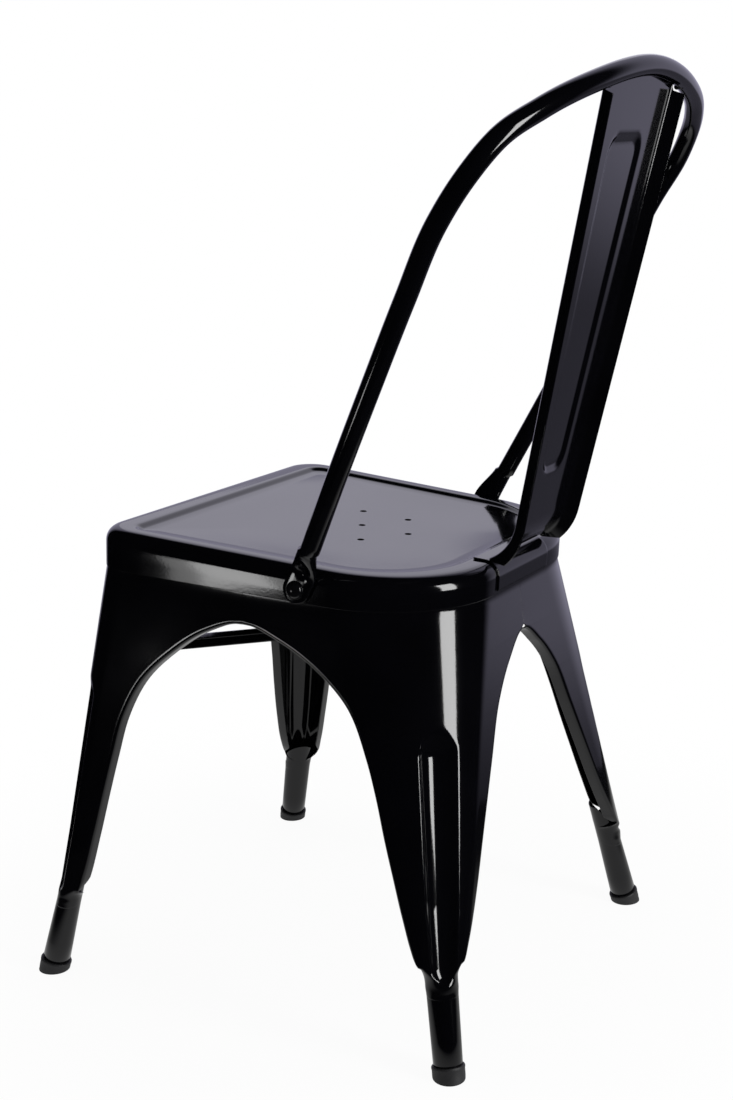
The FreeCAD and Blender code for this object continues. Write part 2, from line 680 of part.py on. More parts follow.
over_top = over_top.extrude(Vector(0, FAR, 0))
splat = splat.cut([under_rim, hoop_room, over_top])
splat = max(splat.Solids, key=lambda s: s.Volume)
feature("back_splat", splat)

# splat foot plate
rr = size("rim_round")
gap_in, gap_out = GAP, GAP + size("saddle_sheet")
d = math.sqrt(0.5)


def saddle_curve(offset):
    """Edge points of the foot plate over the rear rim, at an offset from the seat."""
    hub_y, hub_z = size("seat_back") - rr, -rr
    r = rr + offset
    return [Vector(0, hub_y - 12.0, offset), Vector(0, hub_y, offset),
            Vector(0, hub_y + r * d, hub_z + r * d), Vector(0, size("seat_back") + offset, hub_z),
            Vector(0, size("seat_back") + offset, -size("skirt_back") + 3.0)]


inner_pts, outer_pts = saddle_curve(gap_in), saddle_curve(gap_out)
profile = Part.Wire([
    Part.makeLine(inner_pts[0], inner_pts[1]),
    Part.Arc(inner_pts[1], inner_pts[2], inner_pts[3]).toShape(),
    Part.makeLine(inner_pts[3], inner_pts[4]),
    Part.makeLine(inner_pts[4], outer_pts[4]),
    Part.makeLine(outer_pts[4], outer_pts[3]),
    Part.Arc(outer_pts[3], outer_pts[2], outer_pts[1]).toShape(),
    Part.makeLine(outer_pts[1], outer_pts[0]),
    Part.makeLine(outer_pts[0], inner_pts[0])])
saddle = Part.Face(profile).extrude(Vector(2 * size("saddle_half"), 0, 0))
saddle.translate(Vector(-size("saddle_half"), 0, 0))
saddle.Placement = seat_place.multiply(saddle.Placement)
feature("splat_foot_plate", saddle)

# under-seat braces
w, bt = size("brace_width"), size("brace_sheet")


def brace(level, turn_sign):
    """Angle bar laid corner to corner under the seat, its ends on the aprons."""
    reach = 350.0
    section = [(-w / 2, 0), (w / 2, 0), (w / 2, -bt), (-w / 2 + bt, -bt), (-w / 2 + bt, -w),
               (-w / 2, -w), (-w / 2, 0)]
    angle_profile = Part.makePolygon([Vector(-reach, a, b) for a, b in section])
    bar = Part.Face(angle_profile).extrude(Vector(2 * reach, 0, 0))
    middle = (size("seat_back") - size("seat_front")) / 2.0
    heading = math.degrees(math.atan2(330.0, 340.0)) * turn_sign
    bar.Placement = Placement(Vector(0, middle, level), Rotation(Vector(0, 0, 1), heading))
    return bar.common(brace_room)


brace_room = leg_block(T + GAP)
upper_brace = brace(size("brace_level") + w + GAP, 1)
lower_brace = brace(size("brace_level"), -1)
feature("upper_brace", upper_brace)
feature("lower_brace", lower_brace)

# check and write
# The frame's origin is under the middle of the whole chair: front cap to hoop.
front_lean = foot_axis(1, -1)[1].y
chair_front = size("foot_front") + size("cap_radius") * math.sqrt(1.0 + front_lean ** 2)
chair_back = apex.y + size("hoop_tube")
centred = Placement(Vector(0, (chair_front - chair_back) / 2.0, 0), Rotation())
for piece in pieces:
    piece.Placement = centred.multiply(piece.Placement)

doc.recompute()
os.makedirs("parts", exist_ok=True)
for piece in pieces:
    if "Invalid" in piece.State or "Error" in piece.State:
        raise RuntimeError("%s is not computed" % piece.Label)
    if piece.Shape.isNull() or not piece.Shape.isValid() or not piece.Shape.Solids:
        raise RuntimeError("%s has no valid solid" % piece.Label)
for piece in pieces:
    piece.Shape.exportStep(os.path.join("parts", piece.Label + ".step"))
    b = piece.Shape.BoundBox
    print("%-22s solids %d faces %4d  volume %9.0f  x %.1f %.1f y %.1f %.1f z %.1f %.1f" % (
        piece.Label, len(piece.Shape.Solids), len(piece.Shape.Faces), piece.Shape.Volume,
        b.XMin, b.XMax, b.YMin, b.YMax, b.ZMin, b.ZMax))
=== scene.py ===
"""Looks of the metal bistro chair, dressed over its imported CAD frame.

+Z up, the sitter faces -Y.  Shapes are written in millimetres from the middle of the seat's
plan and turned to metres when a mesh is made.  The chair is enamelled gloss black all over,
its bolts and washers too, and stands on rubber feet.
"""
import math

import bmesh
import bpy
from mathutils import Matrix, Vector


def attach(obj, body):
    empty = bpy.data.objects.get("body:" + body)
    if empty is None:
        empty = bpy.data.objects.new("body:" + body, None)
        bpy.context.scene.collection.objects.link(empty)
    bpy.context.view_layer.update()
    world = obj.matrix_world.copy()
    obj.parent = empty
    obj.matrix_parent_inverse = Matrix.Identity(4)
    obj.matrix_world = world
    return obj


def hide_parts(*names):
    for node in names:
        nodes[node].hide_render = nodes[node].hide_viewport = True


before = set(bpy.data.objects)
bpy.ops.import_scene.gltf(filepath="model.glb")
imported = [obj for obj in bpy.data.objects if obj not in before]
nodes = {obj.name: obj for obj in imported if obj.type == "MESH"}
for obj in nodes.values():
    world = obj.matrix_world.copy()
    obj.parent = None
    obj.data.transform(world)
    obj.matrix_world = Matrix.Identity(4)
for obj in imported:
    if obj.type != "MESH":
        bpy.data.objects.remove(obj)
bpy.context.view_layer.update()

# Where the seat's middle stands from the middle of the chair, along Y.
SEAT_Y = -3.95
SHEET = 1.2


# Materials

# Real sizes of the patterns, in millimetres: the uneven coat of one spray pass, the orange
# peel, and the grain of the rubber's mould, drawn coarser than the real one so that it shows.
SPRAY_PASS, ORANGE_PEEL, MOULD_GRAIN = 71.4, 2.38, 1.11
PLASTIC_IOR = 1.5


def per_metre(millimetres):
    """Noise scale of a pattern of a real size."""
    return 1000.0 / millimetres


def linear(code):
    """Linear colour, with alpha, of an sRGB hex code."""
    parts = [int(code[i:i + 2], 16) / 255.0 for i in (1, 3, 5)]
    values = [c / 12.92 if c <= 0.04045 else ((c + 0.055) / 1.055) ** 2.4 for c in parts]
    return (*values, 1.0)


def add(tree, kind, feeds=(), **settings):
    """Adds one node; its settings are properties or socket values, its feeds links or values."""
    node = tree.nodes.new(kind)
    for key, value in settings.items():
        if key in node.bl_rna.properties.keys():
            setattr(node, key, value)
        else:
            node.inputs[key.replace("_", " ")].default_value = value
    for socket, source in feeds:
        if isinstance(source, bpy.types.NodeSocket):
            tree.links.new(source, node.inputs[socket])
        else:
            node.inputs[socket].default_value = source
    return node


def new_material(name):
    """Empty material with its Principled shader and the object's own coordinates."""
    material = bpy.data.materials.new(name)
    material.use_nodes = True
    tree = material.node_tree
    tree.nodes.clear()
    place = add(tree, "ShaderNodeTexCoord").outputs["Object"]
    shader = add(tree, "ShaderNodeBsdfPrincipled")
    add(tree, "ShaderNodeOutputMaterial", [("Surface", shader.outputs["BSDF"])])
    return material, tree, place, shader


def coat(name, pattern, detail, shades, rough_range):
    """Plastic-like skin whose shade and roughness follow one noise; gives its parts."""
    material, tree, place, shader = new_material(name)
    shader.inputs["IOR"].default_value = PLASTIC_IOR
    noise = add(tree, "ShaderNodeTexNoise", [("Vector", place)], Scale=per_metre(pattern),
                Detail=detail)
    shade = add(tree, "ShaderNodeMix", [("Factor", noise.outputs["Fac"]),
                                        ("A", linear(shades[0])), ("B", linear(shades[1]))],
                data_type="RGBA")
    rough = add(tree, "ShaderNodeMapRange", [("Value", noise.outputs["Fac"])],
                To_Min=rough_range[0], To_Max=rough_range[1])
    tree.links.new(shade.outputs["Result"], shader.inputs["Base Color"])
    tree.links.new(rough.outputs["Result"], shader.inputs["Roughness"])
    return material, tree, place, shader, noise


def gloss_enamel(name, colour, rough_low, rough_high, peel, edge):
    """Stove enamel sprayed on pressed steel.

    It gives a deep black gloss, an orange peel of about 2 mm that only breaks up the
    reflections, and enamel drawn round over every edge, by the radius given in metres.
    """
    material, tree, place, shader, _ = coat(name, SPRAY_PASS, 3.0, (colour, "#060609"),
                                            (rough_low, rough_high))
    ripple = add(tree, "ShaderNodeTexNoise", [("Vector", place)], Scale=per_metre(ORANGE_PEEL),
                 Detail=1.0)
    drawn = add(tree, "ShaderNodeBevel", samples=6, Radius=edge)
    bump = add(tree, "ShaderNodeBump", [("Height", ripple.outputs["Fac"]),
                                        ("Normal", drawn.outputs["Normal"])],
               Strength=peel, Distance=0.00004)
    tree.links.new(bump.outputs["Normal"], shader.inputs["Normal"])
    return material


def moulded_rubber(name):
    """Moulded rubber: near black and matt, with the fine grain of its mould."""
    material, tree, _, shader, grain = coat(name, MOULD_GRAIN, 2.0, ("#121214", "#1e1e21"),
                                            (0.45, 0.65))
    bump = add(tree, "ShaderNodeBump", [("Height", grain.outputs["Fac"])],
               Strength=0.4, Distance=0.0002)
    tree.links.new(bump.outputs["Normal"], shader.inputs["Normal"])
    return material


# The chair's own coat: a black mirror whose tone is what it reflects.
enamel = gloss_enamel("gloss_black_stove_enamel", "#020203", 0.05, 0.10, 0.2, 0.0008)
# The same coat on the frame's own meshes, whose square edges it rounds for the eye.
pressed_enamel = gloss_enamel("gloss_black_enamel_on_pressings", "#020203", 0.05, 0.10, 0.2,
                              0.0022)
# Bolts and washers: a shade lighter and less smooth, so that they stand out from the tube.
bolt_enamel = gloss_enamel("enamelled_dome_bolt_steel", "#08080a", 0.10, 0.2, 0.4, 0.0005)
# Feet: matt and near black, with a clear line against the gloss above them.
rubber = moulded_rubber("moulded_black_rubber")


def dress(piece, material):
    """Gives a piece its one material."""
    piece.data.materials.clear()
    piece.data.materials.append(material)


FINISH = {"enamel": pressed_enamel, "dark_steel": bolt_enamel, "rubber": rubber}
for name, node in nodes.items():
    slot_name = node.data.materials[0].name.split(".")[0]
    dress(node, FINISH[slot_name])


# Mesh helpers

def added(name, data):
    """Object of a mesh, lamp or camera, added to the scene."""
    thing = bpy.data.objects.new(name, data)
    bpy.context.collection.objects.link(thing)
    return thing


def laid_down(made, name):
    """Object of a finished bmesh, which is freed."""
    mesh = bpy.data.meshes.new(name)
    made.to_mesh(mesh)
    made.free()
    return added(name, mesh)


def finish_piece(made, name, material, replaced, sharp=35.0):
    """Makes a new piece, moved to its place and in metres, smooth but for its sharp edges."""
    bmesh.ops.translate(made, vec=(0, SEAT_Y, 0), verts=made.verts)
    bmesh.ops.scale(made, vec=(0.001,) * 3, verts=made.verts)
    for face in made.faces:
        face.smooth = True
    for edge in made.edges:
        if len(edge.link_faces) == 2:
            edge.smooth = edge.calc_face_angle(0.0) < math.radians(sharp)
    piece = laid_down(made, name)
    dress(piece, material)
    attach(piece, "root")
    if replaced:
        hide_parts(*replaced)


def ring_skin(rings, fill_first=False, fill_last=False):
    """Skin over closed rings of points: a circle extruded from ring to ring."""
    made = bmesh.new()
    bmesh.ops.create_circle(made, segments=len(rings[0]), radius=1.0)
    made.verts.ensure_lookup_table()
    current = list(made.verts)
    for vert, point in zip(current, rings[0]):
        vert.co = point
    first = current
    for ring in rings[1:]:
        edges = [made.edges.get((a, b)) for a, b in zip(current, current[1:] + current[:1])]
        grown = bmesh.ops.extrude_edge_only(made, edges=edges)["geom"]
        fresh = {g for g in grown if isinstance(g, bmesh.types.BMVert)}
        current = [next(e.other_vert(old) for e in old.link_edges if e.other_vert(old) in fresh)
                   for old in current]
        for vert, point in zip(current, ring):
            vert.co = point
    if fill_first:
        made.faces.new(first)
    if fill_last:
        made.faces.new(current)
    bmesh.ops.recalc_face_normals(made, faces=made.faces)
    return made


def evaluated(made, name, *modifiers):
    """The mesh after modifiers, as a fresh bmesh; each is a kind and its settings."""
    holder = laid_down(made, name)
    mesh = holder.data
    for kind, settings in modifiers:
        modifier = holder.modifiers.new(kind, kind)
        for key, value in settings.items():
            setattr(modifier, key, value)
    graph = bpy.context.evaluated_depsgraph_get()
    result = bpy.data.meshes.new_from_object(holder.evaluated_get(graph))
    bpy.data.objects.remove(holder)
    bpy.data.meshes.remove(mesh)
    out = bmesh.new()
    out.from_mesh(result)
    bpy.data.meshes.remove(result)
    return out


def cut_off(made, point, way):
    """Cuts away what lies beyond a plane, on the side that its direction points to."""
    bmesh.ops.bisect_plane(made, geom=made.verts[:] + made.edges[:] + made.faces[:],
                           plane_co=point, plane_no=way, clear_outer=True)


def on_side(point, side):
    """A point or way of the +X side, on the side that is asked for."""
    return Vector((side * point.x, point.y, point.z))


def held_share(value, low, high):
    """How far a value lies from the low to the high one, held between 0 and 1."""
    return max(0.0, min(1.0, (value - low) / (high - low)))


def smooth_step(value, low, high):
    """Rises smoothly from 0 at the low value to 1 at the high one."""
    share = held_share(value, low, high)
    return share * share * (3.0 - 2.0 * share)


def between(first, last, share):
    """Value at a share of the way from the first to the last."""
    return first + (last - first) * share


def heading(path, i):
    """Direction of a path at one of its points."""
    return (path[min(i + 1, len(path) - 1)] - path[max(i - 1, 0)]).normalized()


# Seat pan

SEAT_HEIGHT, SEAT_TILT = 434.4, 3.2
HALF_FRONT, HALF_BACK, FRONT, BACK = 180.0, 163.0, -202.0, 154.0
FRONT_CORNER, BACK_CORNER, LEAST_CORNER = 36.0, 112.0, 3.0
FRONT_STEPS, BACK_STEPS = 14, 26
LONG_RUN, RUN_STEPS = 60.0, 8
RIM_ROUND, RIM_WIDTH, RIM_EXTRA = 13.0, 20.5, 7.5
WALL_WIDTH, WALL_DEPTH, DISH_DEPTH, DISH_HALF, DISH_RINGS = 8.0, 3.0, 2.0, 175.0, 14
SKIRT_FRONT, SKIRT_BACK = 37.0, 28.0
SKIRT_ROWS = (-60.0, -36.0, -24.0)
DRAIN_RADIUS, DRAIN_CIRCLE, DRAIN_MIDDLE = 3.2, 51.0, -18.0

SIDE_LEAN = (HALF_BACK - HALF_FRONT) / (BACK - FRONT)

# The seat's own frame, tilted towards the back, and its upward direction.
seat_turn = (Matrix.Translation((0, 0, SEAT_HEIGHT))
             @ Matrix.Rotation(math.radians(-SEAT_TILT), 4, "X"))
seat_up = seat_turn.to_3x3() @ Vector((0, 0, 1))


def arc_point(corner, before, after, radius, share):
    """Point of the arc that rounds a plan's corner; the share runs from before to after it."""
    half = before.angle(after) / 2.0
    middle = corner + (before + after).normalized() * (radius / math.sin(half))
    start = corner + before * (radius / math.tan(half)) - middle
    stop = corner + after * (radius / math.tan(half)) - middle
    sweep = start.angle(stop)
    swung = start * math.sin(sweep * (1 - share)) + stop * math.sin(sweep * share)
    return middle + swung / math.sin(sweep)


def seat_outline(inset, ends=0.0):
    """Points round the seat in plan, moved inwards, always the same number."""
    slant = inset * math.sqrt(1.0 + SIDE_LEAN * SIDE_LEAN)
    front, back = FRONT + inset + ends, BACK - inset - ends
    x_front = HALF_FRONT + SIDE_LEAN * (inset + ends) - slant
    x_back = HALF_BACK - SIDE_LEAN * (inset + ends) - slant
    front_kind, back_kind = (FRONT_CORNER, FRONT_STEPS), (BACK_CORNER, BACK_STEPS)
    corners = [(x_front, front, *front_kind), (x_back, back, *back_kind),
               (-x_back, back, *back_kind), (-x_front, front, *front_kind)]
    points = []
    for i, (x, y, radius, steps) in enumerate(corners):
        radius = max(radius - inset, LEAST_CORNER)
        corner = Vector((x, y))
        before = (Vector(corners[i - 1][:2]) - corner).normalized()
        after = (Vector(corners[(i + 1) % 4][:2]) - corner).normalized()
        points += [arc_point(corner, before, after, radius, k / steps) for k in range(steps + 1)]
    spaced = []
    for a, b in zip(points, points[1:] + points[:1]):
        extra = RUN_STEPS if (b - a).length > LONG_RUN else 0
        spaced += [a] + [a.lerp(b, (k + 1) / (extra + 1)) for k in range(extra)]
    return spaced


def seat_pan():
    """The pressed seat: skirt, rolled edge, flat rim and softly dished floor."""
    # Inset, height, and share of the extra width that the rim has at the front and back.
    profile = [(0.0, z, 0.0) for z in SKIRT_ROWS]
    for k in range(10):
        angle = math.pi / 2 * k / 9
        profile.append((RIM_ROUND * (1 - math.cos(angle)), RIM_ROUND * (math.sin(angle) - 1), 0.0))
    profile += [(RIM_WIDTH - 5.0, 0.0, 0.3), (RIM_WIDTH - 2.0, 0.0, 0.75)]
    for k in range(7):
        share = k / 6
        fall = WALL_DEPTH * smooth_step(share, 0, 1)
        profile.append((RIM_WIDTH + WALL_WIDTH * share, -fall, 1.0))
    rings = [[Vector((p.x, p.y, z)) for p in seat_outline(inset, ends * RIM_EXTRA)]
             for inset, z, ends in profile]
    edge = rings[-1]
    centre = sum(edge, Vector()) / len(edge)
    for k in range(1, DISH_RINGS + 1):
        size = 1.0 - k / (DISH_RINGS + 0.3)
        ring = []
        for p in edge:
            x, y = centre.x + (p.x - centre.x) * size, centre.y + (p.y - centre.y) * size
            dish = (1 - (x / DISH_HALF) ** 2) * (1 - ((y - centre.y) / DISH_HALF) ** 2)
            ring.append(Vector((x, y, -WALL_DEPTH - DISH_DEPTH * max(0.0, dish) * (1 - size ** 6))))
        rings.append(ring)
    made = ring_skin(rings, fill_last=True)
    if sum(f.normal.z for f in made.faces) < 0:
        bmesh.ops.reverse_faces(made, faces=made.faces)
    # The skirt's lower edge rises towards the back.
    fall = (SKIRT_FRONT - SKIRT_BACK) / (BACK - FRONT)
    cut_off(made, (0, FRONT, -SKIRT_FRONT), (0, fall, -1.0))
    drills = bmesh.new()
    for i in range(7):
        turn = math.radians(60 * i + 30)
        reach = 0.0 if i == 6 else DRAIN_CIRCLE
        spot = (reach * math.cos(turn), DRAIN_MIDDLE + reach * math.sin(turn), -5.0)
        bmesh.ops.create_cone(drills, cap_ends=True, segments=28, radius1=DRAIN_RADIUS,
                              radius2=DRAIN_RADIUS, depth=30.0, matrix=Matrix.Translation(spot))
    tool = laid_down(drills, "drain_drills")
    made = evaluated(made, "seat_blank",
                     ("SOLIDIFY", {"thickness": SHEET, "offset": -1.0}),
                     ("BOOLEAN", {"operation": "DIFFERENCE", "object": tool, "solver": "EXACT"}))
    bpy.data.objects.remove(tool)
    bmesh.ops.transform(made, matrix=seat_turn, verts=made.verts)
    finish_piece(made, "pressed_seat", enamel, ["seat_pan"])


seat_pan()


# Back hoop

HOOP_RADIUS, EAR_THICK, EAR_RADIUS, EAR_GAP = 8.75, 5.0, 13.0, 0.3
EAR_STEPS, ROUND_POWER, FLAT_POWER = 18, 2.0, 5.0
DIMPLE_RISE, DIMPLE_LONG, DIMPLE_WIDE, DIMPLE_DEPTH, DIMPLE_ZONE = 20.5, 8.0, 5.5, 1.8, 40.0
hoop_half = [Vector(knot) for knot in (
    (184, 43, 455), (196, 80, 528), (205.5, 118, 603), (212.5, 154, 675), (216.5, 184, 733),
    (213, 208, 769), (196, 226, 796.5), (160, 243, 817), (98, 258, 836.8))]
hoop_apex = Vector((0, 265.5, 850.5))
hoop_knots = [on_side(p, -1) for p in hoop_half] + [hoop_apex] + hoop_half[::-1]


def through(knots, per_run):
    """Smooth path through the knots, spaced by their distances."""
    times = [0.0]
    for a, b in zip(knots, knots[1:]):
        times.append(times[-1] + (b - a).length)
    slopes = [(knots[1] - knots[0]) / times[1]]
    for i in range(1, len(knots) - 1):
        before, after = times[i] - times[i - 1], times[i + 1] - times[i]
        left, right = (knots[i] - knots[i - 1]) / before, (knots[i + 1] - knots[i]) / after
        slopes.append((left * after + right * before) / (before + after))
    slopes.append((knots[-1] - knots[-2]) / (times[-1] - times[-2]))
    path = []
    for i in range(len(knots) - 1):
        run = times[i + 1] - times[i]
        for k in range(per_run):
            t = k / per_run
            path.append(knots[i] * (2 * t ** 3 - 3 * t ** 2 + 1)
                        + slopes[i] * run * (t ** 3 - 2 * t ** 2 + t)
                        + knots[i + 1] * (3 * t ** 2 - 2 * t ** 3)
                        + slopes[i + 1] * run * (t ** 3 - t ** 2))
    return path + [knots[-1]]


hoop_path = through(hoop_knots, 12)

BOLT_Y, BOLT_DROP = 20.0, 18.5
bolt_z = SEAT_HEIGHT - BOLT_DROP - BOLT_Y * math.tan(math.radians(SEAT_TILT))
bolt_x = HALF_FRONT + SIDE_LEAN * (BOLT_Y - FRONT)


def outwards(side):
    """Direction out of the skirt at a hoop bolt."""
    return Vector((side, -SIDE_LEAN, 0.0)).normalized()


def bolt_point(side, out):
    """Point on a hoop bolt's axis, measured outwards from the skirt."""
    return Vector((side * bolt_x, BOLT_Y, bolt_z)) + outwards(side) * out


def cross_ring(centre, wide_way, thin_way, wide, thin, power=ROUND_POWER, count=32):
    """Ring across the tube, round or pressed flat; a higher power is squarer."""
    ring = []
    for k in range(count):
        angle = 2 * math.pi * k / count
        c, s = math.cos(angle), math.sin(angle)
        stretch = (abs(c) ** power + abs(s) ** power) ** (-1.0 / power)
        ring.append(centre + wide_way * (wide * c * stretch) + thin_way * (thin * s * stretch))
    return ring


def ear_rings(side):
    """Rings from the ear's rounded end up to the round tube."""
    out = outwards(side)
    ear = bolt_point(side, EAR_GAP + EAR_THICK / 2)
    tube = on_side(hoop_half[0], side)
    way = (on_side(hoop_half[1], side) - tube).normalized()
    up = (way - out * way.dot(out)).normalized()
    rings = []
    for k in range(10):
        down = EAR_RADIUS * math.cos(math.radians(4 + 86 * k / 9))
        wide = math.sqrt(max(EAR_RADIUS ** 2 - down ** 2, 0.3))
        thin = EAR_THICK / 2 * {0: 0.72, 1: 0.9}.get(k, 1.0)
        rings.append(cross_ring(ear - up * down, up.cross(out), out, wide, thin, FLAT_POWER))
    height = (tube - ear).dot(up)
    drift = (tube - ear).dot(out)
    for k in range(1, EAR_STEPS + 1):
        rise = k / EAR_STEPS
        blend = smooth_step(rise, 0.28, 1.0)
        centre = ear + up * (height * rise) + out * (drift * smooth_step(rise, 0.3, 1.05))
        if k == EAR_STEPS:
            centre = tube
        axis = up.lerp(way, blend).normalized()
        across = axis.cross(out).normalized()
        thin_way = across.cross(axis)
        thin_way = thin_way if thin_way.dot(out) > 0 else -thin_way
        wide = between(EAR_RADIUS, HOOP_RADIUS, smooth_step(rise, 0.25, 0.95))
        thin = between(EAR_THICK / 2, HOOP_RADIUS, blend)
        power = between(FLAT_POWER, ROUND_POWER, blend)
        rings.append(cross_ring(centre, across, thin_way, wide, thin, power))
    return rings, ear, up, out


def hoop():
    """Bent tube with its two ends pressed flat and dimpled."""
    (low_rings, *right_ear), (high_rings, *left_ear) = ear_rings(-1), ear_rings(1)
    rings = low_rings[:-1]
    wide_way = (low_rings[-1][0] - hoop_path[0]).normalized()
    for i, point in enumerate(hoop_path):
        way = heading(hoop_path, i)
        wide_way = (wide_way - way * wide_way.dot(way)).normalized()
        rings.append(cross_ring(point, wide_way, wide_way.cross(way), HOOP_RADIUS, HOOP_RADIUS))
    # The last ear's rings start at another point than the tube's, so they are turned to match.
    last = rings[-1]
    for ring in reversed(high_rings[:-1]):
        start = min(range(len(ring)), key=lambda n: (ring[n] - last[0]).length)
        plain = ring[start:] + ring[:start]
        flipped = plain[:1] + plain[:0:-1]
        fit = sum((a - b).length for a, b in zip(plain, last))
        other = sum((a - b).length for a, b in zip(flipped, last))
        last = plain if fit <= other else flipped
        rings.append(last)
    made = ring_skin(rings, fill_first=True, fill_last=True)
    for vert in made.verts:
        for ear, up, out in (left_ear, right_ear):
            place = vert.co - ear
            if place.length > DIMPLE_ZONE or place.dot(out) < 0.0:
                continue
            across = place.dot(up.cross(out))
            away = math.hypot((place.dot(up) - DIMPLE_RISE) / DIMPLE_LONG, across / DIMPLE_WIDE)
            vert.co -= out * (DIMPLE_DEPTH * (1.0 - smooth_step(away, 0.55, 1.1)))
    finish_piece(made, "bent_tube_hoop", enamel, ["back_hoop"], 50.0)


hoop()


# Back splat

PANEL_TOP, PANEL_FOOT, FLANGE_DEPTH, FLANGE_FLARE, BEND = 73.0, 52.0, 12.5, 6.5, 5.0
SPLAT_RISE, FOOT_Y, FOOT_Z, TOP_Z = 0.2237, 170.2, 461.5, 850.0
CURL_RADIUS, CURL_TURN, CURL_SHARE = 45.0, 52.0, 0.14
PANEL_DROP, FLANGE_DROP = 5.0, 11.0
EMBOSS_LOW, EMBOSS_HIGH, EMBOSS_DEPTH, EMBOSS_CORNER = 503.0, 796.0, 2.4, 17.0
EMBOSS_FOOT_HALF, EMBOSS_TOP_HALF = 22.5, 34.5
FOOT_LIFT = 2.1
splat_lean = math.atan(SPLAT_RISE)
flange_flare = math.atan2(FLANGE_FLARE, FLANGE_DEPTH)
flange_turn = math.pi / 2 - flange_flare
bend_reach = BEND * math.tan(flange_turn / 2)


def across_splat(distance, half):
    """Point of the splat's section: sideways and rearwards, by the distance from its middle."""
    side, run = (1 if distance >= 0 else -1), abs(distance)
    flat = half - bend_reach
    if run <= flat:
        return side * run, 0.0
    angle = min((run - flat) / BEND, flange_turn)
    a, b = flat + BEND * math.sin(angle), BEND * (1 - math.cos(angle))
    run = max(0.0, run - flat - BEND * flange_turn)
    return side * (a + run * math.sin(flange_flare)), b + run * math.cos(flange_flare)


def section_length(half):
    """Distance along the section from its middle to the end of a flange."""
    flange = math.hypot(FLANGE_DEPTH, FLANGE_FLARE) - bend_reach
    return half - bend_reach + BEND * flange_turn + flange


def hoop_height(x):
    """Height of the hoop's middle line over the splat."""
    return hoop_apex.z - (hoop_apex.z - hoop_half[-1].z) * (x / hoop_half[-1].x) ** 2


def emboss(a, z):
    """How far the long panel is pressed forwards, at a place across and up the splat."""
    share = (z - EMBOSS_LOW) / (EMBOSS_HIGH - EMBOSS_LOW)
    wide = between(EMBOSS_FOOT_HALF, EMBOSS_TOP_HALF, share)
    tall = (EMBOSS_HIGH - EMBOSS_LOW) / 2
    qx = abs(a) - (wide - EMBOSS_CORNER)
    qz = abs(z - EMBOSS_LOW - tall) - (tall - EMBOSS_CORNER)
    away = math.hypot(max(qx, 0), max(qz, 0)) + min(max(qx, qz), 0) - EMBOSS_CORNER
    return EMBOSS_DEPTH * smooth_step(-away, -1.0, 6.0)


def rearwards(angle):
    """Direction square to the splat where it leans by an angle."""
    return Vector((0, math.cos(angle), -math.sin(angle)))


def splat():
    """Pressed channel: curled foot, long panel pressed forwards, flared flanges."""
    made = bmesh.new()
    bmesh.ops.create_grid(made, x_segments=128, y_segments=150, size=1.0)
    start = Vector((0, FOOT_Y, FOOT_Z))
    for vert in made.verts:
        u, v = vert.co.x, (vert.co.y + 1.0) / 2.0
        share = max(0.0, (v - CURL_SHARE) / (1 - CURL_SHARE))
        half = between(PANEL_FOOT, PANEL_TOP, share)
        a, b = across_splat(u * section_length(half), half)
        if v < CURL_SHARE:
            angle = splat_lean + math.radians(CURL_TURN) * (1 - v / CURL_SHARE)
            hub = start - rearwards(splat_lean) * CURL_RADIUS
            centre = hub + rearwards(angle) * CURL_RADIUS
        else:
            angle = splat_lean
            drop = between(PANEL_DROP, FLANGE_DROP, smooth_step(b, 0.0, 3.0))
            top = min(TOP_Z, hoop_height(a) - drop)
            height = (top - FOOT_Z) * share
            half = between(PANEL_FOOT, PANEL_TOP, height / (TOP_Z - FOOT_Z))
            a, b = across_splat(u * section_length(half), half)
            centre = start + Vector((0, SPLAT_RISE, 1.0)) * height
        near = EMBOSS_LOW - 5 < centre.z < EMBOSS_HIGH + 5 and v > CURL_SHARE
        pressed = emboss(a, centre.z) if near else 0.0
        vert.co = centre + Vector((a, 0, 0)) + rearwards(angle) * (b - pressed)
    # The foot is cut just above the seat, parallel to it.
    cut_off(made, seat_turn @ Vector((0, 0, FOOT_LIFT)), -seat_up)
    bmesh.ops.recalc_face_normals(made, faces=made.faces)
    if sum(f.normal.y for f in made.faces) > 0:
        bmesh.ops.reverse_faces(made, faces=made.faces)
    made = evaluated(made, "splat_blank", ("SOLIDIFY", {"thickness": SHEET, "offset": -1.0}))
    finish_piece(made, "pressed_splat", enamel, ["back_splat"])


splat()


# Turned and joined pieces

def turned(profile, place, segments=40):
    """Round piece: its profile of radius and height spun about the Z axis, then placed."""
    made = bmesh.new()
    verts = [made.verts.new((radius, 0, height)) for radius, height in profile]
    edges = [made.edges.new(pair) for pair in zip(verts, verts[1:])]
    bmesh.ops.spin(made, geom=verts + edges, cent=(0, 0, 0), axis=(0, 0, 1),
                   angle=2 * math.pi, steps=segments, use_merge=True)
    bmesh.ops.remove_doubles(made, verts=made.verts, dist=0.001)
    bmesh.ops.recalc_face_normals(made, faces=made.faces)
    bmesh.ops.transform(made, matrix=place, verts=made.verts)
    return made


def joined(parts):
    """Several bmeshes as one."""
    whole = bmesh.new()
    for part in parts:
        mesh = bpy.data.meshes.new("part")
        part.to_mesh(mesh)
        part.free()
        whole.from_mesh(mesh)
        bpy.data.meshes.remove(mesh)
    return whole


# Leg shells

# An end of -1 is the front and 1 the rear; a side of 1 is the sitter's left, at +X.  The legs
# are worked out on the +X side and mirrored.
CORNERS = (("left_front", 1, -1), ("right_front", -1, -1), ("left_rear", 1, 1),
           ("right_rear", -1, 1))
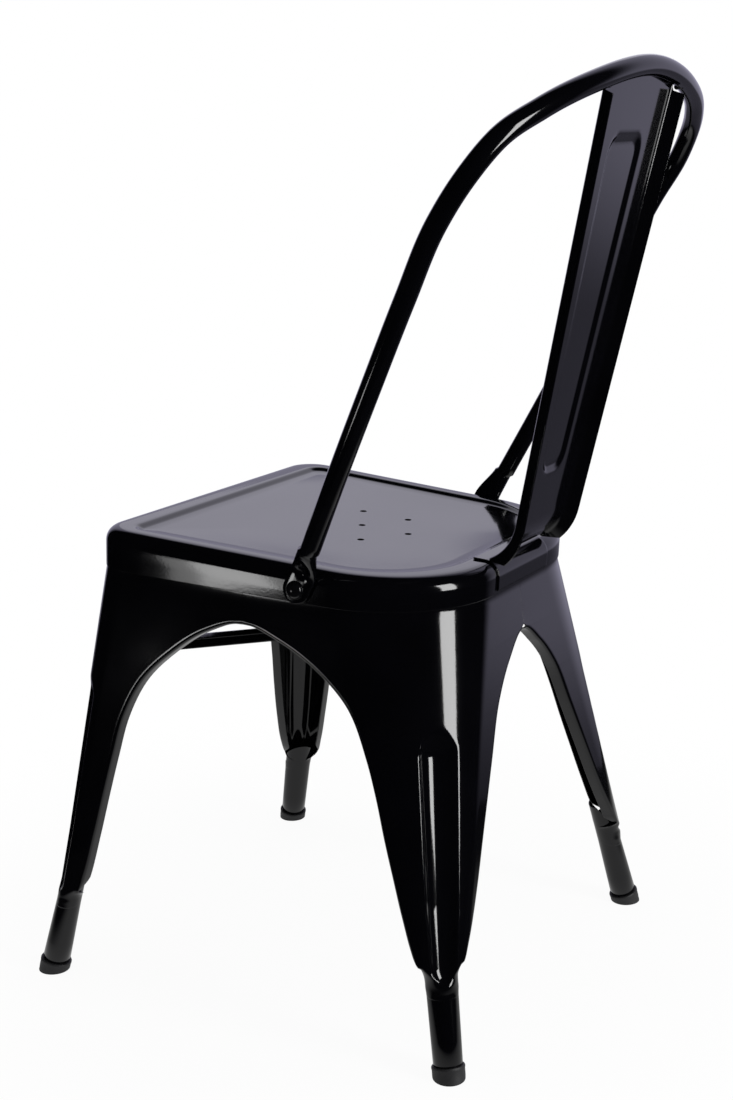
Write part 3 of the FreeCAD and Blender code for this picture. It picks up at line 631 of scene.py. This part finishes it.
# Where each foot tube's middle line meets the floor, and its lean.
FEET = {-1: (Vector((210.6, -251.0, 0.0)), Vector((-0.1306, 0.2167, 1.0))),
        1: (Vector((196.8, 184.0, 0.0)), Vector((-0.195, -0.198, 1.0)))}

# Half width at the front and at the back, then the front and back edges, on the floor.
FLOOR_PLAN = (223.8, 210.0, -258.2, 197.2)
FLOOR_CORNER = 15.0
SEAT_PLAN = (HALF_FRONT, HALF_BACK, FRONT, BACK)
APRON_INSET, APRON_FOLD, APRON_TOP = 1.5, 31.0, 413.5
TUBE_RADIUS, CAP_TOP, TUBE_TOP, SHELL_END = 13.2, 11.2, 76.0, 70.5
TUBE_ASIDE, TUBE_OUTWARD = 1.2, -1.8
MOUTH_SLANT = {-1: 0.8, 1: 1.2}
SEAM_GAP, CROWN_FADE = 0.06, 20.0
FLANGE_BEND, FLANGE_WIDTH, FLANGE_LEAST = 3.2, 9.0, 0.4
FLANGE_FADE = {-1: (88.0, 106.0), 1: (95.0, 112.0)}
# Height where the sheet starts to close on the tube, how much higher its wings start, and the
# height over which it closes.
CLOSE_START = {-1: (81.0, 9.0), 1: (83.0, 15.0)}
CLOSE_RUN, WRAP_HALF, FOOT_ZONE = 12.0, math.radians(155.0), 130.0
FLUTE_TOP, FLUTE_FOOT = 299.0, 96.0
FLUTE_HALF, FLUTE_SHIFT = 19.0, 12.0
FLUTE_RADIUS_TOP, FLUTE_RADIUS_FOOT = 28.0, 16.0
FLUTE_DEPTH_TOP, FLUTE_DEPTH_FOOT, LEDGE_SLOPE = 9.5, 6.5, 0.4
FRONT_FLUTE_SHARE, NO_FLUTE = 0.65, 30.0
LEDGE_BLEND, FLUTE_BLEND = 1.6, 2.2
# How a section's points crowd to its middle, and how sharply its edges rise at a crown.
SECTION_STEPS, POINT_CROWDING, LIFT_POWER = 110, 1.3, 4
# How far the sheet stands off the tube at its end and above it, how fast its wings close, and
# the half width of the corner that keeps its own curve further down.
STAND_OFF, STAND_OFF_ABOVE, WING_LEAD, CORNER_KEPT = 0.08, 0.48, 1.15, 13.0

# Arch openings by distance along the face and height: the side arch from front to rear, the
# others from the crown down.
side_arch = [(-222, 70), (-209, 100), (-196, 148), (-186, 190), (-176, 230), (-165, 269),
             (-144, 308), (-113, 338), (-76, 363), (-38, 375), (0, 364), (41, 342), (72, 314),
             (92, 274), (104, 240), (114, 206), (125, 172), (136, 139), (149, 106), (168, 78)]
back_arch = [(0, 352), (31, 332), (58, 302), (83, 254), (99, 222), (115, 190), (131, 158),
             (148, 128), (163, 106), (184, 80)]
front_arch = [(0, 372), (42, 364), (80, 342), (110, 308), (129, 269), (141, 230), (151, 190),
              (163, 148), (178, 108), (198, 78)]


def arch_side(points, forwards):
    """One half of an arch as a smooth curve from its crown down, as distance and height."""
    curve = through([Vector((a, z, 0)) for a, z in points], 10)
    crown = max(range(len(curve)), key=lambda i: curve[i].y)
    return curve[crown:] if forwards else curve[crown::-1]


def whole_arch(half):
    """Both halves of an arch that is alike on its two sides."""
    return [(-a, z) for a, z in reversed(half[1:])] + half


# Each leg's arch edges: on the side face, then on the front or back face.
ARCHES = {-1: (arch_side(side_arch, False), arch_side(whole_arch(front_arch), True)),
          1: (arch_side(side_arch, True), arch_side(whole_arch(back_arch), True))}


def arch_at(curve, height):
    """Distance along the face at a height of the arch, and its slope there; no slope above it."""
    if height >= curve[0].y:
        return curve[0].x, None
    for a, b in zip(curve, curve[1:]):
        if b.y <= height:
            break
    share = (a.y - height) / max(a.y - b.y, 1e-6)
    return between(a.x, b.x, share), (b - a).normalized()


def plan_corner(plan, inset, radius, end, share):
    """Point on a rounded corner of a plan; the share runs from its side to its end."""
    half_front, half_back, front, back = plan
    lean = (half_back - half_front) / (back - front)
    slant = inset * math.sqrt(1.0 + lean * lean)
    half, edge = (half_front, front) if end < 0 else (half_back, back)
    corner = Vector((half - end * lean * inset - slant, edge - end * inset))
    side_way = Vector((lean, 1.0)).normalized() * -end
    return arc_point(corner, side_way, Vector((-1.0, 0.0)), radius, share)


def skin_point(end, share, height):
    """Point of the base's skin on the +X side, at a share of the corner and a height."""
    low = plan_corner(FLOOR_PLAN, 0.0, FLOOR_CORNER, end, share).to_3d()
    radius = (FRONT_CORNER if end < 0 else BACK_CORNER) - APRON_INSET
    high = plan_corner(SEAT_PLAN, APRON_INSET, radius, end, share)
    high = seat_turn @ Vector((high.x, high.y, -APRON_FOLD))
    if height <= high.z:
        return low.lerp(high, height / high.z)
    return high + seat_up * ((height - high.z) / seat_up.z)


def upright(way):
    """Turn that brings the Z axis to a direction."""
    return Vector((0, 0, 1)).rotation_difference(way.normalized()).to_matrix().to_4x4()


def foot_radius(angle, height):
    """Radius of the rolled foot, an oval at its top and round at the floor."""
    share = held_share(height, CAP_TOP, TUBE_TOP)
    aside, outward = TUBE_RADIUS + TUBE_ASIDE * share, TUBE_RADIUS + TUBE_OUTWARD * share
    return 1.0 / math.hypot(math.cos(angle) / outward, math.sin(angle) / aside)


def soft_low(a, b, blend):
    """Lower of two values, rounded where they meet."""
    share = held_share(b - a, -blend, blend)
    return between(b, a, share) - blend * share * (1 - share)


def groove(across, height, shift):
    """Outward place of the flute's pressed surface, from the corner's outermost line."""
    share = held_share(height, FLUTE_FOOT, FLUTE_TOP)
    radius = between(FLUTE_RADIUS_FOOT, FLUTE_RADIUS_TOP, share)
    deep = between(FLUTE_DEPTH_FOOT, FLUTE_DEPTH_TOP, min(1.0, share * 4))
    if not shift:
        deep *= FRONT_FLUTE_SHARE
    across -= shift * share
    away = math.hypot(across, max(0.0, FLUTE_FOOT - height))
    if away >= radius:
        return NO_FLUTE
    floor_place = radius - deep - math.sqrt(radius ** 2 - away ** 2)
    dome = math.sqrt(max(FLUTE_HALF ** 2 - across ** 2, 0.0))
    ledge = (height - FLUTE_TOP + FLUTE_HALF - dome) * LEDGE_SLOPE
    return -soft_low(-floor_place, -ledge, LEDGE_BLEND)


def plain_section(end, height):
    """Whole section of the skin on the +X side, from a side's middle round the corner."""
    start, stop = skin_point(end, 0.0, height), skin_point(-end, 0.0, height)
    line = [stop.lerp(start, 0.3 + 0.7 * k / 30) for k in range(30)]
    arc = [skin_point(end, k / 90, height) for k in range(91)]
    last = arc[-1]
    line_end = [last.lerp(Vector((-2.0, last.y, last.z)), k / 30) for k in range(1, 31)]
    return line + arc + line_end


def run_at(points, runs, axis, value):
    """Distance along a section where its X or Y first passes a value."""
    rising = points[-1][axis] > points[0][axis]
    for i in range(len(points) - 1):
        a, b = points[i][axis], points[i + 1][axis]
        if (a <= value <= b) if rising else (b <= value <= a):
            return runs[i] + (runs[i + 1] - runs[i]) * (value - a) / (b - a if b != a else 1.0)
    return runs[-1]


def run_point(points, runs, run):
    """Point of a section at a distance along it."""
    for i in range(len(runs) - 1):
        if runs[i + 1] >= run:
            return points[i].lerp(points[i + 1], (run - runs[i]) / (runs[i + 1] - runs[i]))
    return points[-1].copy()


def diagonals(end):
    """Ways out of a leg's corner and across it, on the +X side."""
    return Vector((1, end, 0)).normalized(), Vector((-1, end, 0)).normalized()


def leg_section(end, height):
    """Points of one section of a leg, from its side edge round the corner to its end edge."""
    outward, aside = diagonals(end)
    points = plain_section(end, height)
    runs = [0.0]
    for a, b in zip(points, points[1:]):
        runs.append(runs[-1] + (b - a).length)
    # The edges stand back from the arches by the flange's bend, and rise with it at the crown.
    bend = flange_size(FLANGE_BEND, end, height)
    limits, lifts = [], []
    for axis_number, arch, inwards in zip((1, 0), ARCHES[end], (1, -1)):
        place, slope = arch_at(arch, height)
        back = bend * abs(slope.y) if slope else SEAM_GAP / 2
        limits.append(run_at(points, runs, axis_number, place) + back * inwards)
        above = 1.0 if slope else max(0.0, 1.0 - (height - arch[0].y) / CROWN_FADE)
        lifts.append(FLANGE_BEND * above * (abs(slope.x) if slope else 1.0))
    crest = skin_point(end, 0.5, height)
    middle = min(runs, key=lambda r: (run_point(points, runs, r) - crest).length)
    foot, lean = FEET[end]
    axis = foot + lean * height
    section = []
    for k in range(SECTION_STEPS + 1):
        t = 2.0 * k / SECTION_STEPS - 1.0
        run = between(middle, limits[t > 0], abs(t) ** POINT_CROWDING)
        point = run_point(points, runs, run)
        skin = (point - crest).dot(outward)
        across = (point - crest).dot(aside)
        flute = groove(across, height, FLUTE_SHIFT if end > 0 else 0.0)
        point += outward * (soft_low(skin, flute, FLUTE_BLEND) - skin)
        point.z += lifts[t > 0] * abs(t) ** LIFT_POWER
        # Round the foot the sheet closes on the tube, the wings first.
        place = point - axis
        reach = math.hypot(place.dot(outward), place.dot(aside))
        angle = math.atan2(place.dot(aside), place.dot(outward))
        begin, later = CLOSE_START[end]
        begin += later * min(1.0, abs(t) * WING_LEAD) ** 2
        close = smooth_step(begin - height, 0.0, CLOSE_RUN)
        above = smooth_step(height, SHELL_END + 0.5, SHELL_END + 7.0)
        angle = between(angle, t * WRAP_HALF, close)
        skin_radius = foot_radius(angle, height) + between(STAND_OFF, STAND_OFF_ABOVE, above)
        if height < TUBE_TOP + 3.0 or (abs(across) > CORNER_KEPT and height < FOOT_ZONE):
            reach = max(reach, skin_radius)
        if height < FOOT_ZONE:
            way = outward * math.cos(angle) + aside * math.sin(angle)
            reach = between(reach, skin_radius, close)
            point = Vector((axis.x, axis.y, point.z)) + way * reach
        section.append(point)
    return section


def leg_heights():
    """Heights of the sections: close together at the crowns of the arches and at the foot."""
    wanted = [SHELL_END + 1.5 * k for k in range(26)]
    for curve in (*ARCHES[-1], *ARCHES[1]):
        wanted += [p.y for p in curve if p.y > 100.0]
    wanted += [376.5, 379, 382, 386, 390, 394, 399, 404, 409, APRON_TOP]
    heights = []
    for z in sorted(wanted):
        if not heights or z - heights[-1] > 0.7:
            heights.append(z)
    return heights


def lofted(sections):
    """Skin over open sections: a grid whose rows are laid on them."""
    made = bmesh.new()
    columns, rows = len(sections[0]), len(sections)
    bmesh.ops.create_grid(made, x_segments=columns - 1, y_segments=rows - 1, size=1.0)
    made.verts.ensure_lookup_table()
    for vert in made.verts:
        column = round((vert.co.x + 1) / 2 * (columns - 1))
        row = round((vert.co.y + 1) / 2 * (rows - 1))
        vert.co = sections[row][column]
    return made


def flange_size(full, end, height):
    """A size of the arch flanges, which fades out towards the foot."""
    return between(FLANGE_LEAST, full, smooth_step(height, *FLANGE_FADE[end]))


def flange_sections(sections, column, beside, crown, end):
    """Bend and inward flange along one arch edge of a leg, one strip for each section."""
    edge = [s[column] for s in sections]
    strips = []
    for i, section in enumerate(sections):
        height = section[len(section) // 2].z
        if height > crown + 0.01:
            break
        if edge[i].z < FLANGE_FADE[end][0] + 3.0:
            continue
        along = heading(edge, i)
        if height > crown - 2.0:
            along = (edge[i] - edge[i - 1]).normalized()
        leave = (edge[i] - section[beside]).normalized()
        leave = (leave - along * leave.dot(along)).normalized()
        out = along.cross(leave).normalized()
        if out.dot(Vector((edge[i].x, edge[i].y, 0.0))) < 0:
            out = -out
        bend = flange_size(FLANGE_BEND, end, edge[i].z)
        width = flange_size(FLANGE_WIDTH, end, edge[i].z)
        strip = [edge[i]]
        for k in range(1, 6):
            turn = math.pi / 2 * k / 5
            drop = bend * (1 - math.cos(turn))
            strip.append(edge[i] + leave * (bend * math.sin(turn)) - out * drop)
        strip += [edge[i] + leave * bend - out * (bend + width * share) for share in (0.5, 1.0)]
        strips.append(strip)
    return strips


def leg_shell(name, side, end):
    """Pressed leg: apron, fluted corner, arch flanges and the rolled tube foot."""
    sections = [leg_section(end, z) for z in leg_heights()]
    side_crown, end_crown = [arch[0].y for arch in ARCHES[end]]
    made = joined([lofted(sections),
                   lofted(flange_sections(sections, 0, 1, side_crown, end)),
                   lofted(flange_sections(sections, -1, -2, end_crown, end))])
    bmesh.ops.remove_doubles(made, verts=made.verts, dist=0.02)
    bmesh.ops.dissolve_degenerate(made, dist=0.02, edges=made.edges)
    bmesh.ops.recalc_face_normals(made, faces=made.faces)
    outward, aside = diagonals(end)
    crest = sections[-3][len(sections[0]) // 2]
    nearest = min(made.faces, key=lambda f: (f.calc_center_median() - crest).length)
    if nearest.normal.dot(outward) < 0:
        bmesh.ops.reverse_faces(made, faces=made.faces)
    made = evaluated(made, name + "_blank", ("SOLIDIFY", {"thickness": SHEET, "offset": -1.0}))
    foot, lean = FEET[end]
    inside, tube_end = TUBE_RADIUS - SHEET, TUBE_TOP + 40
    rises = (CAP_TOP + 0.4, CAP_TOP + 20, CAP_TOP + 42, TUBE_TOP - 3, tube_end)
    outline = [(inside, CAP_TOP), (TUBE_RADIUS - 0.3, CAP_TOP), *[(TUBE_RADIUS, z) for z in rises],
               (inside, tube_end), (inside, CAP_TOP)]
    tube = turned([(radius, z * lean.length) for radius, z in outline],
                  Matrix.Translation(foot) @ upright(lean), 56)
    for vert in tube.verts:
        place = vert.co - foot - lean * vert.co.z
        place.z = 0.0
        angle = math.atan2(place.dot(aside), place.dot(outward))
        vert.co += place.normalized() * (foot_radius(angle, vert.co.z) - TUBE_RADIUS)
    # The tube's top is cut on the slant: low under the flute, high inside the wings.
    mouth = foot + lean * TUBE_TOP + outward * TUBE_RADIUS
    cut_off(tube, mouth, outward * MOUTH_SLANT[end] + Vector((0, 0, 1)))
    made = joined([made, tube])
    if side < 0:
        bmesh.ops.scale(made, vec=(-1, 1, 1), verts=made.verts)
        bmesh.ops.reverse_faces(made, faces=made.faces)
    finish_piece(made, name + "_shell", enamel, [name], 40.0)


for corner_name, corner_side, corner_end in CORNERS:
    leg_shell(corner_name + "_leg", corner_side, corner_end)


# Bolts and washers

# Outlines by radius and by height over the outer face of the hoop's ear.
HEAD_RADIUS, HEAD_EDGE, HEAD_RISE, HEAD_SEAT = 7.5, 1.7, 3.9, 1.3
SHANK_RADIUS, SHANK_END = 3.0, -9.2 - EAR_GAP - EAR_THICK
WASHER_OUTLINE = [(3.2, 0.05), (8.1, 0.05), (8.5, 0.4), (8.3, 1.0), (7.9, 1.25), (3.2, 1.25),
                  (3.2, 0.05)]

turns = [math.radians(90 * step / 8) for step in range(9)]
dome = [(HEAD_RADIUS * math.sin(turn), HEAD_EDGE + HEAD_RISE * math.cos(turn)) for turn in turns]
dome += [(HEAD_RADIUS, HEAD_SEAT), (SHANK_RADIUS, HEAD_SEAT), (SHANK_RADIUS, SHANK_END),
         (0.0, SHANK_END)]


def on_both_ears(outline, name, replaced):
    """One round fastener on each ear: its outline spun about the bolt's axis."""
    pair = []
    for side in (1, -1):
        place = Matrix.Translation(bolt_point(side, EAR_GAP + EAR_THICK))
        pair.append(turned(outline, place @ upright(outwards(side))))
    finish_piece(joined(pair), name, bolt_enamel, [replaced])


on_both_ears(dome, "dome_head_bolts", "hoop_bolts")
on_both_ears(WASHER_OUTLINE, "plain_washers", "hoop_washers")


# Weld beads where the splat's flanges meet the hoop

BEAD_START, BEAD_END = Vector((76.5, 258.0, 834.0)), Vector((79.0, 263.0, 835.5))
BEAD_RADIUS, BEAD_GROWTH, BEAD_COUNT = 2.6, 0.12, 4


def weld_bead(side):
    """Row of overlapping weld ripples, of three sizes by turns."""
    start, end = on_side(BEAD_START, side), on_side(BEAD_END, side)
    parts = []
    for i in range(BEAD_COUNT):
        drop = bmesh.new()
        bmesh.ops.create_icosphere(drop, subdivisions=3,
                                   radius=BEAD_RADIUS * (1.0 + BEAD_GROWTH * (i % 3)))
        bmesh.ops.translate(drop, vec=start.lerp(end, i / (BEAD_COUNT - 1)), verts=drop.verts)
        parts.append(drop)
    return joined(parts)


finish_piece(joined([weld_bead(side) for side in (1, -1)]), "splat_weld_beads", enamel, [],
             60.0)


# Rubber feet

# Outline by radius and height up the tube; the floor cuts its lower end level.
SOLE_OUTLINE = [(0, -20), (14.3, -20), (14.5, -1), (14.7, 2), (14.7, 8), (15, 8.8), (15, 10.2),
                (14.6, 11), (13.6, 11.3), (11.6, 11.3), (11.6, 30), (0, 30)]


def rubber_foot(name, side, end):
    """Cap with a plug in the rolled tube."""
    foot, lean = [on_side(part, side) for part in FEET[end]]
    cap = turned(SOLE_OUTLINE, Matrix.Translation(foot) @ upright(lean), 48)
    cut_off(cap, (0, 0, 0), (0, 0, -1))
    bmesh.ops.edgeloop_fill(cap, edges=[e for e in cap.edges if len(e.link_faces) == 1])
    bmesh.ops.recalc_face_normals(cap, faces=cap.faces)
    finish_piece(cap, name + "_rubber_foot", rubber, [name + "_foot_cap"])


for corner_name, corner_side, corner_end in CORNERS:
    rubber_foot(corner_name, corner_side, corner_end)


# Floor, world and lamps, in metres

# Where the chair's shadow fades out, and the share of pure white before and after.
FLOOR_RADIUS, SHADOW_ZONE, SHADOW_WHITE = 0.8, (0.25, 0.75), (0.94, 1.0)
# The paper that the gloss sees: its middle, on the side away from the camera, the reach over
# which it fades, and how bright it is.
PAPER_MIDDLE, PAPER_FADE, PAPER_GLOW = (-0.16, -0.10, 0.0), (0.42, 0.62), (0.55, 0.01)


def fading(start, result):
    """Settings of a range that runs smoothly from one pair of values to another."""
    return {"interpolation_type": "SMOOTHSTEP", "From_Min": start[0], "From_Max": start[1],
            "To_Min": result[0], "To_Max": result[1]}


def straight_rays(tree):
    """The node that tells rays apart, and one for the camera's rays, through glass or not."""
    rays = add(tree, "ShaderNodeLightPath")
    straight = add(tree, "ShaderNodeMath", [(0, rays.outputs["Is Camera Ray"]),
                                            (1, rays.outputs["Is Transmission Ray"])],
                   operation="MAXIMUM")
    return rays, straight


def floor_material():
    """Matt white paper: it keeps the chair's shadow near it and fades to white around."""
    material, tree, place, shader = new_material("pale_studio_floor")
    shader.inputs["Base Color"].default_value = linear("#f4f4f4")
    shader.inputs["Roughness"].default_value = 0.9
    shader.inputs["Specular IOR Level"].default_value = 0.0
    length = add(tree, "ShaderNodeVectorMath", [(0, place)], operation="LENGTH")
    fade = add(tree, "ShaderNodeMapRange", [("Value", length.outputs["Value"])],
               **fading(SHADOW_ZONE, SHADOW_WHITE))
    rays, straight = straight_rays(tree)
    seen = add(tree, "ShaderNodeMath", [(0, straight.outputs[0]), (1, fade.outputs["Result"])],
               operation="MULTIPLY")
    white = add(tree, "ShaderNodeEmission", Strength=1.0)
    mixed = add(tree, "ShaderNodeMixShader", [(0, seen.outputs[0]), (1, shader.outputs["BSDF"]),
                                              (2, white.outputs["Emission"])])
    # The gloss sees white paper near the chair and the dark studio beyond it.
    shifted = add(tree, "ShaderNodeVectorMath", [(0, place), (1, PAPER_MIDDLE)],
                  operation="SUBTRACT")
    reach = add(tree, "ShaderNodeVectorMath", [(0, shifted.outputs["Vector"])],
                operation="LENGTH")
    paper = add(tree, "ShaderNodeMapRange", [("Value", reach.outputs["Value"])],
                **fading(PAPER_FADE, PAPER_GLOW))
    dim = add(tree, "ShaderNodeEmission", [("Strength", paper.outputs["Result"])])
    mixed = add(tree, "ShaderNodeMixShader", [(0, rays.outputs["Is Glossy Ray"]),
                                              (1, mixed.outputs["Shader"]),
                                              (2, dim.outputs["Emission"])])
    output = next(n for n in tree.nodes if n.type == "OUTPUT_MATERIAL")
    tree.links.new(mixed.outputs["Shader"], output.inputs["Surface"])
    return material


disc = bmesh.new()
bmesh.ops.create_circle(disc, cap_ends=True, segments=96, radius=FLOOR_RADIUS)
floor = laid_down(disc, "studio_floor")
dress(floor, floor_material())


# The white backdrop: its direction, how its side edge fades into the dark studio, and how it
# brightens with height, a little below the horizon.
BACKDROP_WAY, BACKDROP_EDGE, BACKDROP_SHARE = (-0.96, -0.26, 0.0), (0.5, 0.72), (0.004, 1.0)
BACKDROP_RISE, BACKDROP_LIGHT = (-0.28, -0.17), (0.16, 0.72)
# The light on matt surfaces, and the faint violet of what the gloss sees.
SOFT_LIGHT, BACKDROP_TINT = 0.6, "#e6e2ff"


def studio_world():
    """White to the eye all round; the gloss sees only the backdrop, behind the chair."""
    world = bpy.data.worlds.new("white_studio")
    bpy.context.scene.world = world
    world.use_nodes = True
    tree = world.node_tree
    tree.nodes.clear()
    way = add(tree, "ShaderNodeTexCoord").outputs["Generated"]
    far_side = add(tree, "ShaderNodeVectorMath", [(0, way), (1, BACKDROP_WAY)],
                   operation="DOT_PRODUCT")
    width = add(tree, "ShaderNodeMapRange", [("Value", far_side.outputs["Value"])],
                **fading(BACKDROP_EDGE, BACKDROP_SHARE))
    parts = add(tree, "ShaderNodeSeparateXYZ", [(0, way)])
    rise = add(tree, "ShaderNodeMapRange", [("Value", parts.outputs["Z"])],
               **fading(BACKDROP_RISE, BACKDROP_LIGHT))
    sheet = add(tree, "ShaderNodeMath", [(0, width.outputs["Result"]),
                                         (1, rise.outputs["Result"])], operation="MULTIPLY")
    rays, straight = straight_rays(tree)
    glossy = add(tree, "ShaderNodeMath", [(0, rays.outputs["Is Glossy Ray"]),
                                          (1, sheet.outputs[0])], operation="MULTIPLY")
    shown = add(tree, "ShaderNodeMath", [(0, straight.outputs[0]), (1, glossy.outputs[0])],
                operation="MAXIMUM")
    soft = add(tree, "ShaderNodeMath", [(0, rays.outputs["Is Diffuse Ray"]), (1, SOFT_LIGHT)],
               operation="MULTIPLY")
    total = add(tree, "ShaderNodeMath", [(0, shown.outputs[0]), (1, soft.outputs[0])],
                operation="MAXIMUM")
    light = add(tree, "ShaderNodeBackground", [("Strength", total.outputs[0])])
    tone = add(tree, "ShaderNodeMix", [("Factor", rays.outputs["Is Glossy Ray"]),
                                       ("A", linear("#ffffff")), ("B", linear(BACKDROP_TINT))],
               data_type="RGBA")
    tree.links.new(tone.outputs["Result"], light.inputs["Color"])
    add(tree, "ShaderNodeOutputWorld", [("Surface", light.outputs["Background"])])


studio_world()


def aimed(name, data, place, way):
    """Adds a lamp or a camera at a place, turned to look along a direction."""
    thing = added(name, data)
    thing.location = place
    thing.rotation_mode = "QUATERNION"
    thing.rotation_quaternion = way.to_track_quat("-Z", "Y")
    return thing


def softbox(name, azimuth, height, distance, wide, tall, brightness, aim=0.35):
    """Rectangular studio lamp, at an azimuth in degrees from +X towards +Y, facing the chair."""
    data = bpy.data.lights.new(name, "AREA")
    data.shape = "RECTANGLE"
    data.size = wide
    data.size_y = tall
    data.energy = brightness * math.pi * wide * tall
    turn = math.radians(azimuth)
    place = Vector((distance * math.cos(turn), distance * math.sin(turn), height))
    aimed(name, data, place, Vector((0.0, 0.0, aim)) - place)


# The tall light in the rear corner's gloss, the streak on the side band with its softer
# edges, and the light from above.
softbox("strip_softbox_behind", azimuth=88.0, height=0.85, distance=2.2, wide=0.6, tall=1.5,
        brightness=12.0)
softbox("low_card_front_left", azimuth=-28.6, height=0.085, distance=1.55, wide=0.13, tall=0.15,
        brightness=4.5, aim=0.30)
softbox("low_card_edge", azimuth=-28.6, height=0.085, distance=1.56, wide=0.24, tall=0.15,
        brightness=2.8, aim=0.30)
softbox("overhead_softbox", azimuth=208.0, height=1.6, distance=2.0, wide=1.6, tall=1.2,
        brightness=0.45)


# Camera

# Solved from the photograph: its frame, focal length and optical middle in pixels.
PHOTO_WIDE, PHOTO_TALL, FOCAL_PX, MIDDLE_PX = 733.0, 1100.0, 1702.5, (450.0, 575.0)
CAMERA_PLACE, CAMERA_WAY = (1.3527, 0.8105, 0.8207), Vector((-0.8463, -0.4609, -0.2673))


def photo_camera():
    """Camera at the photograph's angle."""
    data = bpy.data.cameras.new("photo_camera")
    data.sensor_width = 36.0
    data.lens = FOCAL_PX / PHOTO_TALL * data.sensor_width
    data.shift_x = (PHOTO_WIDE / 2 - MIDDLE_PX[0]) / PHOTO_TALL
    data.shift_y = (MIDDLE_PX[1] - PHOTO_TALL / 2) / PHOTO_TALL
    bpy.context.scene.camera = aimed("photo_camera", data, CAMERA_PLACE, CAMERA_WAY)


photo_camera()
bpy.context.scene.view_settings.view_transform = "Standard"

bpy.context.view_layer.update()
